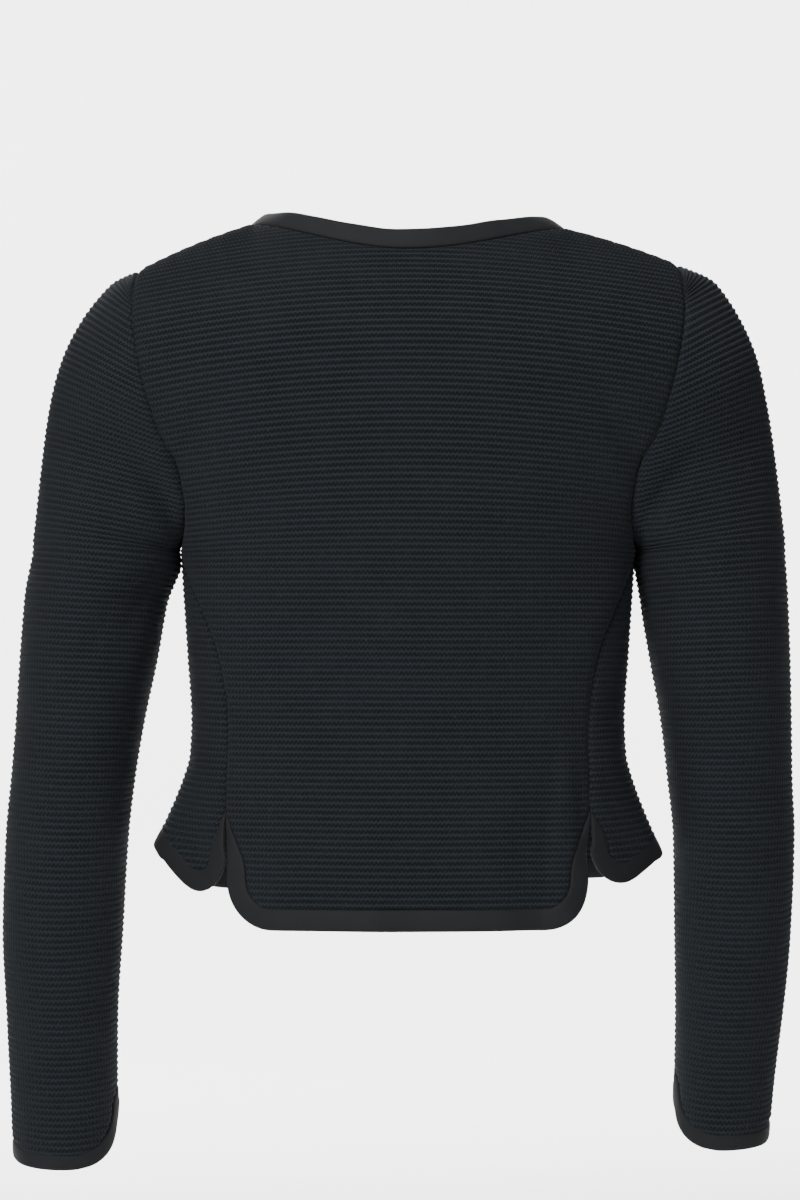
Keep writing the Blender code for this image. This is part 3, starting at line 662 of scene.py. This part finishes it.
def sleeve_sheet(side, row, u):
    """Points, normals and turns of a whole sleeve, and the band width down its slit.

    row runs 0 to 1 down the cap, to 2 down to the slit, to 3 beside it and to 4 round the
    corner of the cuff.
    """
    tube = SLEEVE_TUBE[side]
    corner_x, corner_z = CUFF_CORNER
    end = tube["down"][-1] - CUFF_BAND_WIDTH
    slit = tube["down"][-1] - SLIT_LENGTH
    share = SLEEVE_CAP["share"][0] + (1 - SLEEVE_CAP["share"][0]) * np.clip(row, 0, 1)
    down = np.where(row < 2, ROW_UNDERARM + (slit - ROW_UNDERARM) * np.clip(row - 1, 0, 1),
                    slit + (end - corner_z - slit) * np.clip(row - 2, 0, 1))
    round_turn = np.clip(row - 3, 0, 1) * math.pi / 2
    band = CUFF_BAND_WIDTH * ramp(down, slit, end - corner_z)
    away = (SLIT_HALF_GAP + SEAM_GAP) * ramp(down, slit, slit + GAP_OPENING) + band
    away = away + corner_x * (1 - np.cos(round_turn))
    down = down + corner_z * np.sin(round_turn)
    half = along(tube["down"], tube["ratio"] * (tube["x_out"] - tube["x_in"]) / 2, down)
    turn = (180 - np.degrees(away / half))[:, None] * u
    z = np.broadcast_to(-down[:, None], turn.shape)
    grid = tube_form(turn, z, side)
    last = sleeve_cap(side, np.array([1.0]), u)[0]
    start = tube_form(180 * u, np.full_like(u, -ROW_UNDERARM), side)
    fade = 1 - ramp(down, ROW_UNDERARM, ROW_UNDERARM + CAP_FADE)
    grid = grid + (last - start) * fade[:, None, None]
    on_cap = row < 1
    first = sleeve_cap(side, share[:1], u)[0]
    near_crown = 1 - ramp(share, share[0], CROWN_BLEND_SHARE)
    cap = sleeve_cap(side, share, u) + near_crown[:, None, None] * (cap_crown(side, u) - first)
    ends = share * on_cap
    for column, panel, toward in ((0, "back", 1), (-1, "front", -1)):
        under = tuck(side, read(ARMHOLE, panel, ends),
                     armhole_height(ends, side), toward)
        cap[:, column] += (1 - ramp(share, *CAP_TUCK_ENDS))[:, None] * under
    cap[0, 1:-1] += crown_tuck(side, u)[1:-1]
    grid[on_cap] = cap[on_cap]
    normal = grid_normal(grid, grid.mean(axis=1)[:, None])
    on_tube = row > TUBE_NORMAL_ROW
    normal[on_tube] = normal_of(tube_form, turn, z, side)[on_tube]
    return grid, normal, np.broadcast_to(180 * u, turn.shape), band


def grid_normal(grid, centre):
    """Unit normal at each point of a grid, facing away from the centre line."""
    normal = np.cross(np.gradient(grid, axis=0), np.gradient(grid, axis=1))
    normal /= np.maximum(np.linalg.norm(normal, axis=-1, keepdims=True), 1e-12)
    return normal * (1 if (normal * (grid - centre)).sum() > 0 else -1)


def distances(grid, axis):
    """Distance walked along an axis of a grid, from its start to each point."""
    step = np.linalg.norm(np.diff(grid, axis=axis), axis=-1)
    walked = np.cumsum(step, axis=axis)
    return np.insert(walked, 0, 0, axis=axis)


def knit_rows(surface, pitch):
    """Row values at which a surface is stepped, a fixed part of a garter ridge apart.

    surface gives the points of one column for an array of row values; the walk down that
    column is turned round from distance to row value.
    """
    dense = LAST_ROW * np.linspace(0, 1, PATH_POINTS) ** PATH_POWER
    walked = distances(surface(dense), 0)
    step = pitch / STEPS_A_RIDGE
    count = STEPS_A_RIDGE * int(round(walked[-1] / pitch))
    return np.interp(np.linspace(0, walked[-1], count + 1), walked, dense)


def fold_lift(folds, place, z):
    """Lift of the cloth off its form: the sum of its folds, each a bell curve across and
    along itself, bent over by its tilt."""
    lift = np.zeros(np.broadcast(place, z).shape)
    for at, height, wide, long, depth, tilt in zip(*folds.values()):
        across = (place - at - tilt * (z - height)) / wide
        lift += FOLD_DEPTH * depth * np.exp(-(across**2) - ((z - height) / long) ** 2)
    return lift


# --- meshes ---
def put_mesh(name, points, faces, uv, material):
    """Object with its points, a list of face arrays and one UV pair for each point."""
    loops = np.concatenate([f.ravel() for f in faces])
    sizes = np.concatenate([np.full(len(f), f.shape[1]) for f in faces])
    starts = np.concatenate([[0], np.cumsum(sizes)[:-1]])
    mesh = bpy.data.meshes.new(name)
    mesh.vertices.add(len(points))
    mesh.vertices.foreach_set("co", points.astype(np.float32).ravel())
    mesh.loops.add(len(loops))
    mesh.loops.foreach_set("vertex_index", loops.astype(np.int32))
    mesh.polygons.add(len(sizes))
    mesh.polygons.foreach_set("loop_start", starts.astype(np.int32))
    layer = mesh.uv_layers.new(name="knit")
    layer.data.foreach_set("uv", uv[loops].astype(np.float32).ravel())
    mesh.update(calc_edges=True)
    mesh.validate()
    mesh.shade_smooth()
    mesh.materials.append(material)
    piece = bpy.data.objects.new(name, mesh)
    bpy.context.scene.collection.objects.link(piece)
    return piece


def quads_of(index):
    """Quads between the points of an index grid, down its rows first."""
    return np.stack([index[:-1, :-1], index[1:, :-1], index[1:, 1:], index[:-1, 1:]],
                    axis=-1).reshape(-1, 4)


def rim_of(fine, coarse, step):
    """Faces that join a walk along the outer layer to the same walk along the inner one."""
    first = np.arange(len(coarse) - 1)[:, None]
    outer = fine[first * step + np.arange(step, -1, -1)]
    return np.concatenate([outer, coarse[first], coarse[first + 1]], axis=1)


def shell_faces(rows, columns, row_step, column_step):
    """Faces of a closed sheet: a fine outer layer, a coarser inner one and the rim.

    Gives the faces and the places in the outer grid of the inner layer's points.
    """
    outer = np.arange(rows * columns).reshape(rows, columns)
    kept = outer[::row_step, ::column_step]
    inner = rows * columns + np.arange(kept.size).reshape(kept.shape)
    faces = [quads_of(outer), quads_of(inner)[:, ::-1]]
    for o, i, step in (
        (outer[:, 0], inner[:, 0], row_step),
        (outer[-1], inner[-1], column_step),
        (outer[::-1, -1], inner[::-1, -1], row_step),
        (outer[0, ::-1], inner[0, ::-1], column_step),
    ):
        faces.append(rim_of(o, i, step))
    return faces, kept.ravel()


def knit_panel(name, grid, normal, stitch, count, lift):
    """Closed shell of garter stitch on a grid of the form, standing for the CAD node name.

    The outer layer rises with the cosine of the row count and sinks at every edge into its
    seam, as one minus a bell curve of the distance from the edge.
    """
    knit = bpy.context.scene.cardigan_knit
    across, down = distances(grid, 1), distances(grid, 0)
    from_side = np.minimum(across, across[:, -1:] - across)
    from_end = np.minimum(down, down[-1:] - down)
    fade = knit.seam_width
    inside = (1 - np.exp(-((from_side / fade) ** 2))) * (1 - np.exp(-((from_end / fade) ** 2)))
    first, second = (np.sin(stitch * a + count * b) for a, b in UNEVEN_WAVES)
    uneven = 1 + UNEVEN * first * second
    relief = 0.5 * knit.ridge_height * np.cos(2 * math.pi * count) * uneven
    half = KNIT_WALL / 2
    outer = lift - knit.seam_sink + (half + knit.seam_sink + relief) * inside
    points = (grid + outer[..., None] * normal).reshape(-1, 3)
    rows, columns = grid.shape[:2]
    faces, kept = shell_faces(rows, columns, STEPS_A_RIDGE, INNER_COLUMN_STEP)
    back_layer = (grid + (lift - half)[..., None] * normal).reshape(-1, 3)[kept]
    uv = np.stack([stitch, count], axis=-1).reshape(-1, 2)
    i, j = rows // 2, columns // 2
    facing = np.cross(grid[i + 1, j] - grid[i, j], grid[i, j + 1] - grid[i, j])
    if (facing * normal[i, j]).sum() < 0:
        faces = [f[:, ::-1] for f in faces]
    piece = put_mesh(name + "_knit", np.concatenate([points, back_layer]), faces,
                     np.concatenate([uv, uv[kept]]), cloth_named(garter_wool))
    declare(piece, name)


def declare(piece, node):
    """Hangs a cloth piece on the root body and hides the CAD part that it stands for.
    """
    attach(piece, "root")
    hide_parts(node)


def boundary(values, start_row, end_row):
    """Values down the first column, along the last row and up the last column."""
    return np.concatenate([values[start_row:, 0], values[-1, 1:-1], values[end_row:, -1][::-1]])


def even_path(edge, *others, spacing):
    """Edge and what goes with it, stepped anew at an even spacing along the edge."""
    walked = distances(edge, 0)
    at = np.linspace(0, walked[-1], max(2, int(round(walked[-1] / spacing))) + 1)
    found = []
    for values in (edge, *others):
        values = values.reshape(len(walked), -1)
        found.append(np.stack([np.interp(at, walked, v) for v in values.T], axis=-1))
    return at, found


def band_piece(name, edge, normal, width, stand, turn):
    """Jersey band that carries a cloth edge on, with a soft rounded section.

    Its section is a flattened superellipse, as wide as the band, swept along the edge and
    leaning out by the stand angle. It ripples a little, as a sum of sines along its length.
    """
    band = bpy.context.scene.cardigan_band
    at, (edge, normal, width, stand) = even_path(edge, normal, width, stand, spacing=BAND_STEP)
    step = np.diff(edge, axis=0)
    step /= np.linalg.norm(step, axis=-1, keepdims=True)
    tangent = np.concatenate([step[:1], step[:-1] + step[1:], step[-1:]])
    out = turn * np.cross(tangent, normal)
    out /= np.linalg.norm(out, axis=-1, keepdims=True)
    stand = np.radians(stand)
    leave = out * np.cos(stand) + normal * np.sin(stand)
    facing = normal * np.cos(stand) - out * np.sin(stand)
    around = np.linspace(0, 2 * math.pi, BAND_SIDES + 1)[:-1]
    across = 0.5 - 0.5 * np.sign(np.cos(around)) * np.abs(np.cos(around)) ** BAND_ROUNDING
    rise = np.sign(np.sin(around)) * np.abs(np.sin(around)) ** BAND_ROUNDING
    half = np.minimum(band.thickness / 2, BAND_TAPER * width)
    ripple = band.ripple * sum(share * np.sin(at * w + start) for share, w, start in RIPPLE_WAVES)
    lie = ripple[:, None] * across
    lap = np.minimum(BAND_LAP, width)
    points = edge[:, None] + leave[:, None] * ((width + lap) * across - lap)[..., None]
    points = points + facing[:, None] * (half * rise + lie)[..., None]
    rows, columns = points.shape[:2]
    index = np.arange(rows * columns).reshape(rows, columns)
    ring = np.concatenate([index, index[:, :1]], axis=1)
    faces = [quads_of(ring), index[:1], index[-1:, ::-1]]
    centre = points.mean(axis=1, keepdims=True)
    facing_out = np.cross(points[1, 0] - points[0, 0], points[0, 1] - points[0, 0])
    if (facing_out * (points[0, 0] - centre[0, 0])).sum() < 0:
        faces = [f[:, ::-1] for f in faces]
    outer = BAND_SIDES // 2 + 1
    around_length = np.concatenate([across[:outer], 2 - across[outer:]]) * width.mean()
    uv = np.stack(np.broadcast_arrays(at[:, None] / band.wale, around_length / band.wale), axis=-1)
    piece = put_mesh(name + "_jersey", points.reshape(-1, 3), faces, uv.reshape(-1, 2),
                     cloth_named(smooth_jersey))
    declare(piece, name)


# --- materials ---
def linear(code):
    """Linear colour of an sRGB hex code."""
    srgb = np.array([int(code[i:i + 2], 16) for i in (1, 3, 5)]) / 255
    return tuple(float(v) for v in np.where(srgb <= 0.04045, srgb / 12.92,
                                            ((srgb + 0.055) / 1.055) ** 2.4)) + (1.0,)


def add(tree, kind, values=(), **settings):
    """Node of a kind with its settings; a value that is a socket is linked, others are set."""
    node = tree.nodes.new(kind)
    for name, value in settings.items():
        setattr(node, name, value)
    for socket, value in dict(values).items():
        if isinstance(value, bpy.types.NodeSocket):
            tree.links.new(value, node.inputs[socket])
        else:
            node.inputs[socket].default_value = value
    return node


def reckon(tree, operation, *values, **settings):
    """Output of a maths node that works on values and sockets in their order."""
    node = add(tree, "ShaderNodeMath", dict(enumerate(values)), operation=operation, **settings)
    return node.outputs[0]


def cosine(tree, value, waves):
    """Cosine of a value, with so many waves for each whole step of it."""
    return reckon(tree, "COSINE", reckon(tree, "MULTIPLY", value, waves * 2 * math.pi))


def new_material(name, finish):
    """Principled material with its finish, by socket, and its tree and shader."""
    material = bpy.data.materials.new(name)
    material.use_nodes = True
    shader = material.node_tree.nodes["Principled BSDF"]
    for socket, value in finish.items():
        shader.inputs[socket].default_value = value
    return material, material.node_tree, shader


def knit_counts(tree):
    """Sockets of the stitch count and the ridge count, from the cloth's own UV."""
    uv = add(tree, "ShaderNodeUVMap", uv_map="knit").outputs[0]
    apart = add(tree, "ShaderNodeSeparateXYZ", {0: uv})
    return apart.outputs[0], apart.outputs[1]


def grains(tree, *kinds):
    """Sockets of noise in the object's own space, one for each scale and detail."""
    place = add(tree, "ShaderNodeTexCoord").outputs["Object"]
    return [add(tree, "ShaderNodeTexNoise", {"Vector": place, "Scale": scale, "Detail": detail})
            .outputs[0] for scale, detail in kinds]


def cover(tree, shader, height, strength, distance, tint, deep, light):
    """Gives a shader the relief of a height, and the colour between two that a tint picks."""
    bump = add(tree, "ShaderNodeBump", {"Height": height, "Strength": strength,
                                        "Distance": distance})
    colour = add(tree, "ShaderNodeMix", {"Factor": tint, "A": (*deep, 1), "B": (*light, 1)},
                 data_type="RGBA")
    tree.links.new(colour.outputs["Result"], shader.inputs["Base Color"])
    tree.links.new(bump.outputs[0], shader.inputs["Normal"])


# Wool: what it gives back of the light, the loops' height and the fibre's against the
# ridges', the most that loops and ridges reach, and how far soft clouds shift the colour.
WOOL_FINISH = {"Roughness": 0.92, "Specular IOR Level": 0.10, "Sheen Weight": 0.012,
               "Sheen Roughness": 0.45}
WOOL_GRAINS = ((1400.0, 3.0), (38.0, 2.0))
LOOP_SHARE = 0.38
FIBRE_SHARE = 0.30
LOOP_REACH = 1.1
CLOUD_SHARE = 0.5
# Jersey: the same, and the wales' height against the fibre's, with the depth of both.
JERSEY_FINISH = {"Roughness": 0.78, "Specular IOR Level": 0.16, "Sheen Weight": 0.03,
                 "Sheen Roughness": 0.35}
JERSEY_GRAINS = ((900.0, 3.0), (60.0, 2.0))
WALE_SHARE = 0.35
WALE_STRENGTH = 0.6
WALE_DEPTH = 0.00012


def garter_wool():
    """Wool spun and knitted in garter stitch: matt, with a short nap that lights its rims.

    Each row of purl loops is a wave of the row count, pushed up and down into a zigzag by a
    triangle wave of the stitch count.
    """
    knit = bpy.context.scene.cardigan_knit
    material, tree, shader = new_material("wool, garter-knitted, dark blue-grey", WOOL_FINISH)
    stitch, row = knit_counts(tree)
    zigzag = reckon(tree, "PINGPONG", stitch, 0.5)
    phase = reckon(tree, "MULTIPLY_ADD", zigzag, 2 * knit.zigzag, row)
    wave = cosine(tree, phase, 1)
    height = reckon(tree, "MULTIPLY_ADD", cosine(tree, stitch, 2), LOOP_SHARE, wave)
    height = add(tree, "ShaderNodeMapRange", {"Value": height, "From Min": -LOOP_REACH,
                                              "From Max": LOOP_REACH},
                 interpolation_type="SMOOTHSTEP").outputs[0]
    fibre, cloud = grains(tree, *WOOL_GRAINS)
    raised = reckon(tree, "MULTIPLY_ADD", fibre, FIBRE_SHARE, height)
    shift = reckon(tree, "MULTIPLY_ADD", cloud, CLOUD_SHARE, -CLOUD_SHARE / 2)
    # The colour darkens with the relief's height towards the hollow shade colour. This is painted
    # shade in the hollows between the loops; the fibre and the soft clouds add real random tone.
    tint = reckon(tree, "ADD", raised, shift, use_clamp=True)
    cover(tree, shader, raised, 1.0, knit.loop_height, tint, knit.hollow_shade_colour, knit.colour)
    return material


def smooth_jersey():
    """Fine single jersey, machine-knitted: nearly smooth, with wales about 1 mm apart that
    only show close up, and a slight sheen."""
    band = bpy.context.scene.cardigan_band
    material, tree, shader = new_material("wool jersey, fine-knitted, near black", JERSEY_FINISH)
    wale, _ = knit_counts(tree)
    fibre, cloud = grains(tree, *JERSEY_GRAINS)
    raised = reckon(tree, "MULTIPLY_ADD", cosine(tree, wale, 1), WALE_SHARE, fibre)
    cover(tree, shader, raised, WALE_STRENGTH, WALE_DEPTH, cloud, band.deep_colour, band.colour)
    return material


# Cloths already made, by the function that makes them.
MADE = {}


def cloth_named(make):
    """The material that a function makes, made once."""
    if make not in MADE:
        MADE[make] = make()
    return MADE[make]


# --- settings ---
class KnitSettings(bpy.types.PropertyGroup):
    """Sizes and colours of the garter stitch."""

    pitch: FloatProperty(name="Ridge pitch", description="From one garter ridge to the next",
                         default=0.00405, min=0.001, unit="LENGTH", precision=5)
    stitch: FloatProperty(name="Stitch width", description="Width of one zigzag of the loops",
                          default=0.0027, min=0.001, unit="LENGTH", precision=5)
    ridge_height: FloatProperty(name="Ridge height", description="Height of a ridge in the mesh",
                                default=0.0009, min=0.0, unit="LENGTH", precision=5)
    loop_height: FloatProperty(name="Loop height", description="Depth of the zigzag relief",
                               default=0.0007, min=0.0, unit="LENGTH", precision=5)
    zigzag: FloatProperty(name="Zigzag", description="Swing of the loops, in ridge pitches",
                          default=0.42, min=0.0, max=1.0, subtype="FACTOR")
    seam_width: FloatProperty(name="Seam width", description="Distance over which an edge sinks",
                              default=0.0030, min=0.0005, unit="LENGTH", precision=5)
    seam_sink: FloatProperty(name="Seam sink", description="How far an edge sinks into its seam",
                             default=0.0008, min=0.0, unit="LENGTH", precision=5)
    colour: FloatVectorProperty(name="Loops", description="Colour of the raised loops",
                                subtype="COLOR", size=3, default=linear("#161a1e")[:3])
    # Painted shade: the darker colour that the relief's height mixes into the hollows between the
    # loops, where shade falls.
    hollow_shade_colour: FloatVectorProperty(name="Hollows", description="Colour between the loops",
                                       subtype="COLOR", size=3, default=linear("#07090b")[:3])


class BandSettings(bpy.types.PropertyGroup):
    """Sizes and colours of the jersey bands."""

    thickness: FloatProperty(name="Thickness", description="Thickness of a folded band",
                             default=0.0030, min=0.0005, unit="LENGTH", precision=5)
    ripple: FloatProperty(name="Ripple", description="How far a band's edge waves in and out",
                          default=0.00035, min=0.0, unit="LENGTH", precision=5)
    wale: FloatProperty(name="Wale", description="Distance between wales of the jersey",
                        default=0.0011, min=0.0003, unit="LENGTH", precision=5)
    colour: FloatVectorProperty(name="Band", description="Colour of the bands",
                                subtype="COLOR", size=3, default=linear("#0e0f11")[:3])
    deep_colour: FloatVectorProperty(name="Deep band", description="Darker cast of the bands",
                                     subtype="COLOR", size=3, default=linear("#0b0c0e")[:3])


class StageSettings(bpy.types.PropertyGroup):
    """Floor, light and camera."""

    floor: FloatProperty(name="Floor height", description="Height of the pale floor",
                         default=-0.80, unit="LENGTH")
    key: FloatProperty(name="Key light", description="Power of the light behind the left shoulder",
                       default=150.0, min=0.0, unit="POWER")
    backdrop: FloatProperty(name="Backdrop light", description="Power of each backdrop light",
                            default=160.0, min=0.0, unit="POWER")
    sky: FloatProperty(name="Sky", description="Strength of the even white light",
                       default=0.25, min=0.0, subtype="FACTOR")
    floor_colour: FloatVectorProperty(name="Floor", description="Colour of floor and backdrop",
                                      subtype="COLOR", size=3, default=linear("#f4f4f3")[:3])


# --- operators ---
# Edge of the knit round the neck on each side, with its normals.
NECKS = {}


def row_count(grid, normal, column, yoke, hem, pitch):
    """Count of garter ridges at each point.

    Between the depths yoke and hem every row of the grid is a knit row, counted down one
    column. Beyond them the knit rows lie level, because the shoulder cuts them and the
    flared hem spreads them. A drop in height counts there as the steepest way down the
    cloth, which is the drop divided by the level part of the unit normal.
    """
    down = distances(grid, 0)[:, [column]]
    depth = -grid[:, column, 2]
    first, last = np.searchsorted(depth, (yoke, hem))
    last = min(last, len(depth) - 1)
    level = np.sqrt(np.clip(1 - normal[..., 2] ** 2, 0.01, 1))
    steep = -np.diff(grid[..., 2], axis=0) * 2 / (level[1:] + level[:-1])
    steep = np.insert(np.cumsum(steep, axis=0), 0, 0, axis=0)
    count = np.broadcast_to(down, steep.shape).copy()
    count[:first] = down[first] + steep[:first] - steep[first]
    count[last:] = down[last] + steep[last:] - steep[last]
    return count / pitch


def folded_panel(node, folds, place, grid, normal, stitch, count):
    """Knits a panel with its folds, and gives the grid of its form with the folds in it."""
    lift = fold_lift(FOLDS[folds], place, grid[..., 2])
    knit_panel(node, grid, normal, stitch, count, lift)
    return grid + lift[..., None] * normal


def band_round(node, grid, normal, widths, start_row, end_row, turn):
    """Bands the foot of a panel and its two sides below the rows given."""
    edge, normal, width = (boundary(a, start_row, end_row) for a in (grid, normal, widths))
    band_piece(node, edge, normal, width, 0 * width, turn)


class CARDIGAN_OT_back(bpy.types.Operator):
    """Knit the back panel and band its hem and vents."""

    bl_idname = "cardigan.back"
    bl_label = "Back and its band"

    def execute(self, context):
        knit = context.scene.cardigan_knit
        middle = BACK_COLUMNS // 2
        row = knit_rows(lambda at: back_half("left", at, np.array([YOKE_COLUMN]))[0][:, 0],
                        knit.pitch)
        u = np.linspace(0, 1, middle + 1)
        halves = [back_half(side, row, u) for side in ("right", "left")]
        grid, normal = (np.concatenate([halves[0][k][:, :0:-1], halves[1][k]], axis=1)
                        for k in (0, 1))
        across = distances(grid, 1)
        stitch = (across - across[:, [middle]]) / knit.stitch
        count = row_count(grid, normal, middle, YOKE_BACK, BACK_HEM, knit.pitch)
        grid = folded_panel("back", "back", grid[..., 0], grid, normal, stitch, count)
        widths = np.full(grid.shape[:2], BAND_WIDTH)
        widths[:, 0], widths[:, -1] = halves[0][2], halves[1][2]
        first = int(np.searchsorted(row, VENT_BAND_ROW))
        band_round("band_hem_back", grid, normal, widths, first, first, -1)
        return {"FINISHED"}


class CARDIGAN_OT_fronts(bpy.types.Operator):
    """Knit both fronts and band their front edges, hems and vents."""

    bl_idname = "cardigan.fronts"
    bl_label = "Fronts and their bands"

    def execute(self, context):
        knit = context.scene.cardigan_knit
        u = np.linspace(0, 1, FRONT_COLUMNS + 1)
        for side, sign in (("left", 1), ("right", -1)):
            row = knit_rows(lambda at: front_half(side, at, np.array([0.0, YOKE_COLUMN]))[0][:, 1],
                            knit.pitch)
            grid, normal, outer_width = front_half(side, row, u)
            stitch = (distances(grid, 1) + np.abs(grid[:, :1, 0])) / knit.stitch
            count = row_count(grid, normal, -1, LEVEL_FRONT, FLUTE_TOP, knit.pitch)
            grid = folded_panel("front_" + side, "front", grid[..., 0], grid, normal, stitch, count)
            widths = np.full(grid.shape[:2], BAND_WIDTH)
            widths[:, -1] = outer_width
            start = int(np.searchsorted(row, NECK_END_SHARE))
            first = int(np.searchsorted(row, VENT_BAND_ROW))
            band_round("band_front_" + side, grid, normal, widths, start, first, sign)
            NECKS[side] = (grid[:start + 1, 0], normal[:start + 1, 0])
        return {"FINISHED"}


class CARDIGAN_OT_neck(bpy.types.Operator):
    """Band the neck, from one front edge over the shoulders to the other."""

    bl_idname = "cardigan.neck"
    bl_label = "Neck band"

    def execute(self, context):
        parts = []
        for side in ("right", "left"):
            front, front_normal = NECKS[side]
            u = np.linspace(0, NECK_X / SHOULDER_X, NECK_COLUMNS)
            grid, normal, _ = back_half(side, np.array([0.0, 0.001]), u)
            parts.append((np.concatenate([grid[0], front[1:]]),
                          np.concatenate([normal[0], front_normal[1:]])))
        edge, normal = (np.concatenate([right[:0:-1], left]) for right, left in zip(*parts))
        for end, inside in ((0, NECK_LEAD), (-1, -1 - NECK_LEAD)):
            step = edge[end] - edge[inside]
            more = edge[end] + step / np.linalg.norm(step) * (BAND_WIDTH + SEAM_GAP)
            edge = np.insert(edge, 0 if end == 0 else len(edge), more, axis=0)
            normal = np.insert(normal, 0 if end == 0 else len(normal), normal[end], axis=0)
        reach = distances(edge, 0)
        reach = 1 - np.abs(2 * reach / reach[-1] - 1)
        stand = read(NECK_STAND, "angle", reach)
        band_piece("band_neck", edge, normal, np.full(len(edge), BAND_WIDTH), stand, 1)
        return {"FINISHED"}


class CARDIGAN_OT_sleeves(bpy.types.Operator):
    """Knit both sleeves and band their slit cuffs."""

    bl_idname = "cardigan.sleeves"
    bl_label = "Sleeves and cuff bands"

    def execute(self, context):
        knit = context.scene.cardigan_knit
        u = np.linspace(1, -1, SLEEVE_COLUMNS + 1)
        middle = SLEEVE_COLUMNS // 2
        for side, sign in (("left", 1), ("right", -1)):
            row = knit_rows(lambda at: sleeve_sheet(side, at, np.array([1.0, 0.0, -1.0]))[0][:, 1],
                            knit.pitch)
            grid, normal, turn, band = sleeve_sheet(side, row, u)
            across = distances(grid, 1)
            stitch = (across - across[:, [middle]]) / knit.stitch
            count = np.broadcast_to(distances(grid, 0)[:, [middle]] / knit.pitch, stitch.shape)
            name = "sleeve_" + side
            grid = folded_panel(name, name, turn, grid, normal, stitch, count)
            widths = np.repeat(band[:, None], grid.shape[1], axis=1)
            first = int(np.searchsorted(row, SLIT_BAND_ROW))
            band_round("band_cuff_" + side, grid, normal, widths, first, first, -sign)
        return {"FINISHED"}


class CARDIGAN_OT_stage(bpy.types.Operator):
    """Set the pale floor and backdrop, the soft lights and the camera."""

    bl_idname = "cardigan.stage"
    bl_label = "Stage"

    def execute(self, context):
        stage = context.scene.cardigan_stage
        turn = np.linspace(0, math.pi / 2, COVE_STEPS)
        y = np.concatenate([[FLOOR_NEAR], COVE_START - COVE_RADIUS * np.sin(turn),
                            [COVE_START - COVE_RADIUS]])
        z = np.concatenate([[0.0], COVE_RADIUS * (1 - np.cos(turn)), [BACKDROP_TOP]]) + stage.floor
        x = np.array([-FLOOR_HALF_WIDTH, FLOOR_HALF_WIDTH])
        grid = np.stack(np.broadcast_arrays(x, y[:, None], z[:, None]), axis=-1)
        material = new_material("paper, matt, white",
                                {"Base Color": (*stage.floor_colour, 1), "Roughness": 1.0})[0]
        index = np.arange(len(y) * 2).reshape(-1, 2)
        floor = put_mesh("floor", grid.reshape(-1, 3), [quads_of(index)[:, ::-1]],
                         np.zeros((len(y) * 2, 2)), material)
        middle = (0.0, 0.0, -0.25)
        for name, place, toward, size, power in (
            ("key", (1.3, 2.3, 1.1), middle, 1.0, stage.key),
            ("fill", (-1.5, 2.6, 0.3), middle, 1.6, stage.key * 0.25),
            ("top", (0.1, 0.5, 2.0), middle, 1.4, stage.key * 0.3),
            ("front", (0.4, -1.8, 0.9), middle, 1.4, stage.key * 0.3),
            ("backdrop left", (1.6, -1.4, 0.9), (0.6, -3.2, -0.2), 1.4, stage.backdrop),
            ("backdrop right", (-1.6, -1.4, 0.9), (-0.6, -3.2, -0.2), 1.4, stage.backdrop),
        ):
            light = bpy.data.lights.new(name, "AREA")
            light.energy, light.size = power, size
            lamp = bpy.data.objects.new(name, light)
            lamp.location = place
            aim = np.array(toward) - np.array(place)
            lamp.rotation_euler = (math.acos(-aim[2] / np.linalg.norm(aim)), 0,
                                   math.atan2(aim[1], aim[0]) - math.pi / 2)
            context.scene.collection.objects.link(lamp)
        world = bpy.data.worlds.new("studio")
        world.use_nodes = True
        world.node_tree.nodes["Background"].inputs["Color"].default_value = (1, 1, 1, 1)
        world.node_tree.nodes["Background"].inputs["Strength"].default_value = stage.sky
        context.scene.world = world
        eye = bpy.data.cameras.new("photograph")
        eye.sensor_fit, eye.sensor_height = "VERTICAL", SENSOR_HEIGHT
        eye.lens = CAMERA_LENS
        camera = bpy.data.objects.new("photograph", eye)
        camera.location = CAMERA_PLACE
        camera.rotation_euler = (math.pi / 2, 0, math.pi)
        context.scene.collection.objects.link(camera)
        context.scene.camera = camera
        return {"FINISHED"}


class CARDIGAN_PT_panel(bpy.types.Panel):
    """Shows the settings of the cardigan and the buttons that build its pieces."""

    bl_label = "Cardigan"
    bl_idname = "CARDIGAN_PT_panel"
    bl_space_type = "VIEW_3D"
    bl_region_type = "UI"
    bl_category = "Cardigan"

    def draw(self, context):
        for group in GROUPS:
            settings = getattr(context.scene, group)
            for name in settings.__annotations__:
                self.layout.prop(settings, name)
        for operator in OPERATORS:
            self.layout.operator(operator.bl_idname)


GROUPS = {"cardigan_knit": KnitSettings, "cardigan_band": BandSettings,
          "cardigan_stage": StageSettings}
OPERATORS = (CARDIGAN_OT_back, CARDIGAN_OT_fronts, CARDIGAN_OT_neck, CARDIGAN_OT_sleeves,
             CARDIGAN_OT_stage)
CLASSES = (*GROUPS.values(), *OPERATORS, CARDIGAN_PT_panel)


def register():
    for each in CLASSES:
        bpy.utils.register_class(each)
    for name, group in GROUPS.items():
        setattr(bpy.types.Scene, name, PointerProperty(type=group))


def unregister():
    for name in GROUPS:
        delattr(bpy.types.Scene, name)
    for each in reversed(CLASSES):
        bpy.utils.unregister_class(each)


def main():
    register()
    bpy.ops.cardigan.back()
    bpy.ops.cardigan.fronts()
    bpy.ops.cardigan.neck()
    bpy.ops.cardigan.sleeves()
    bpy.ops.cardigan.stage()


if __name__ == "__main__":
    main()
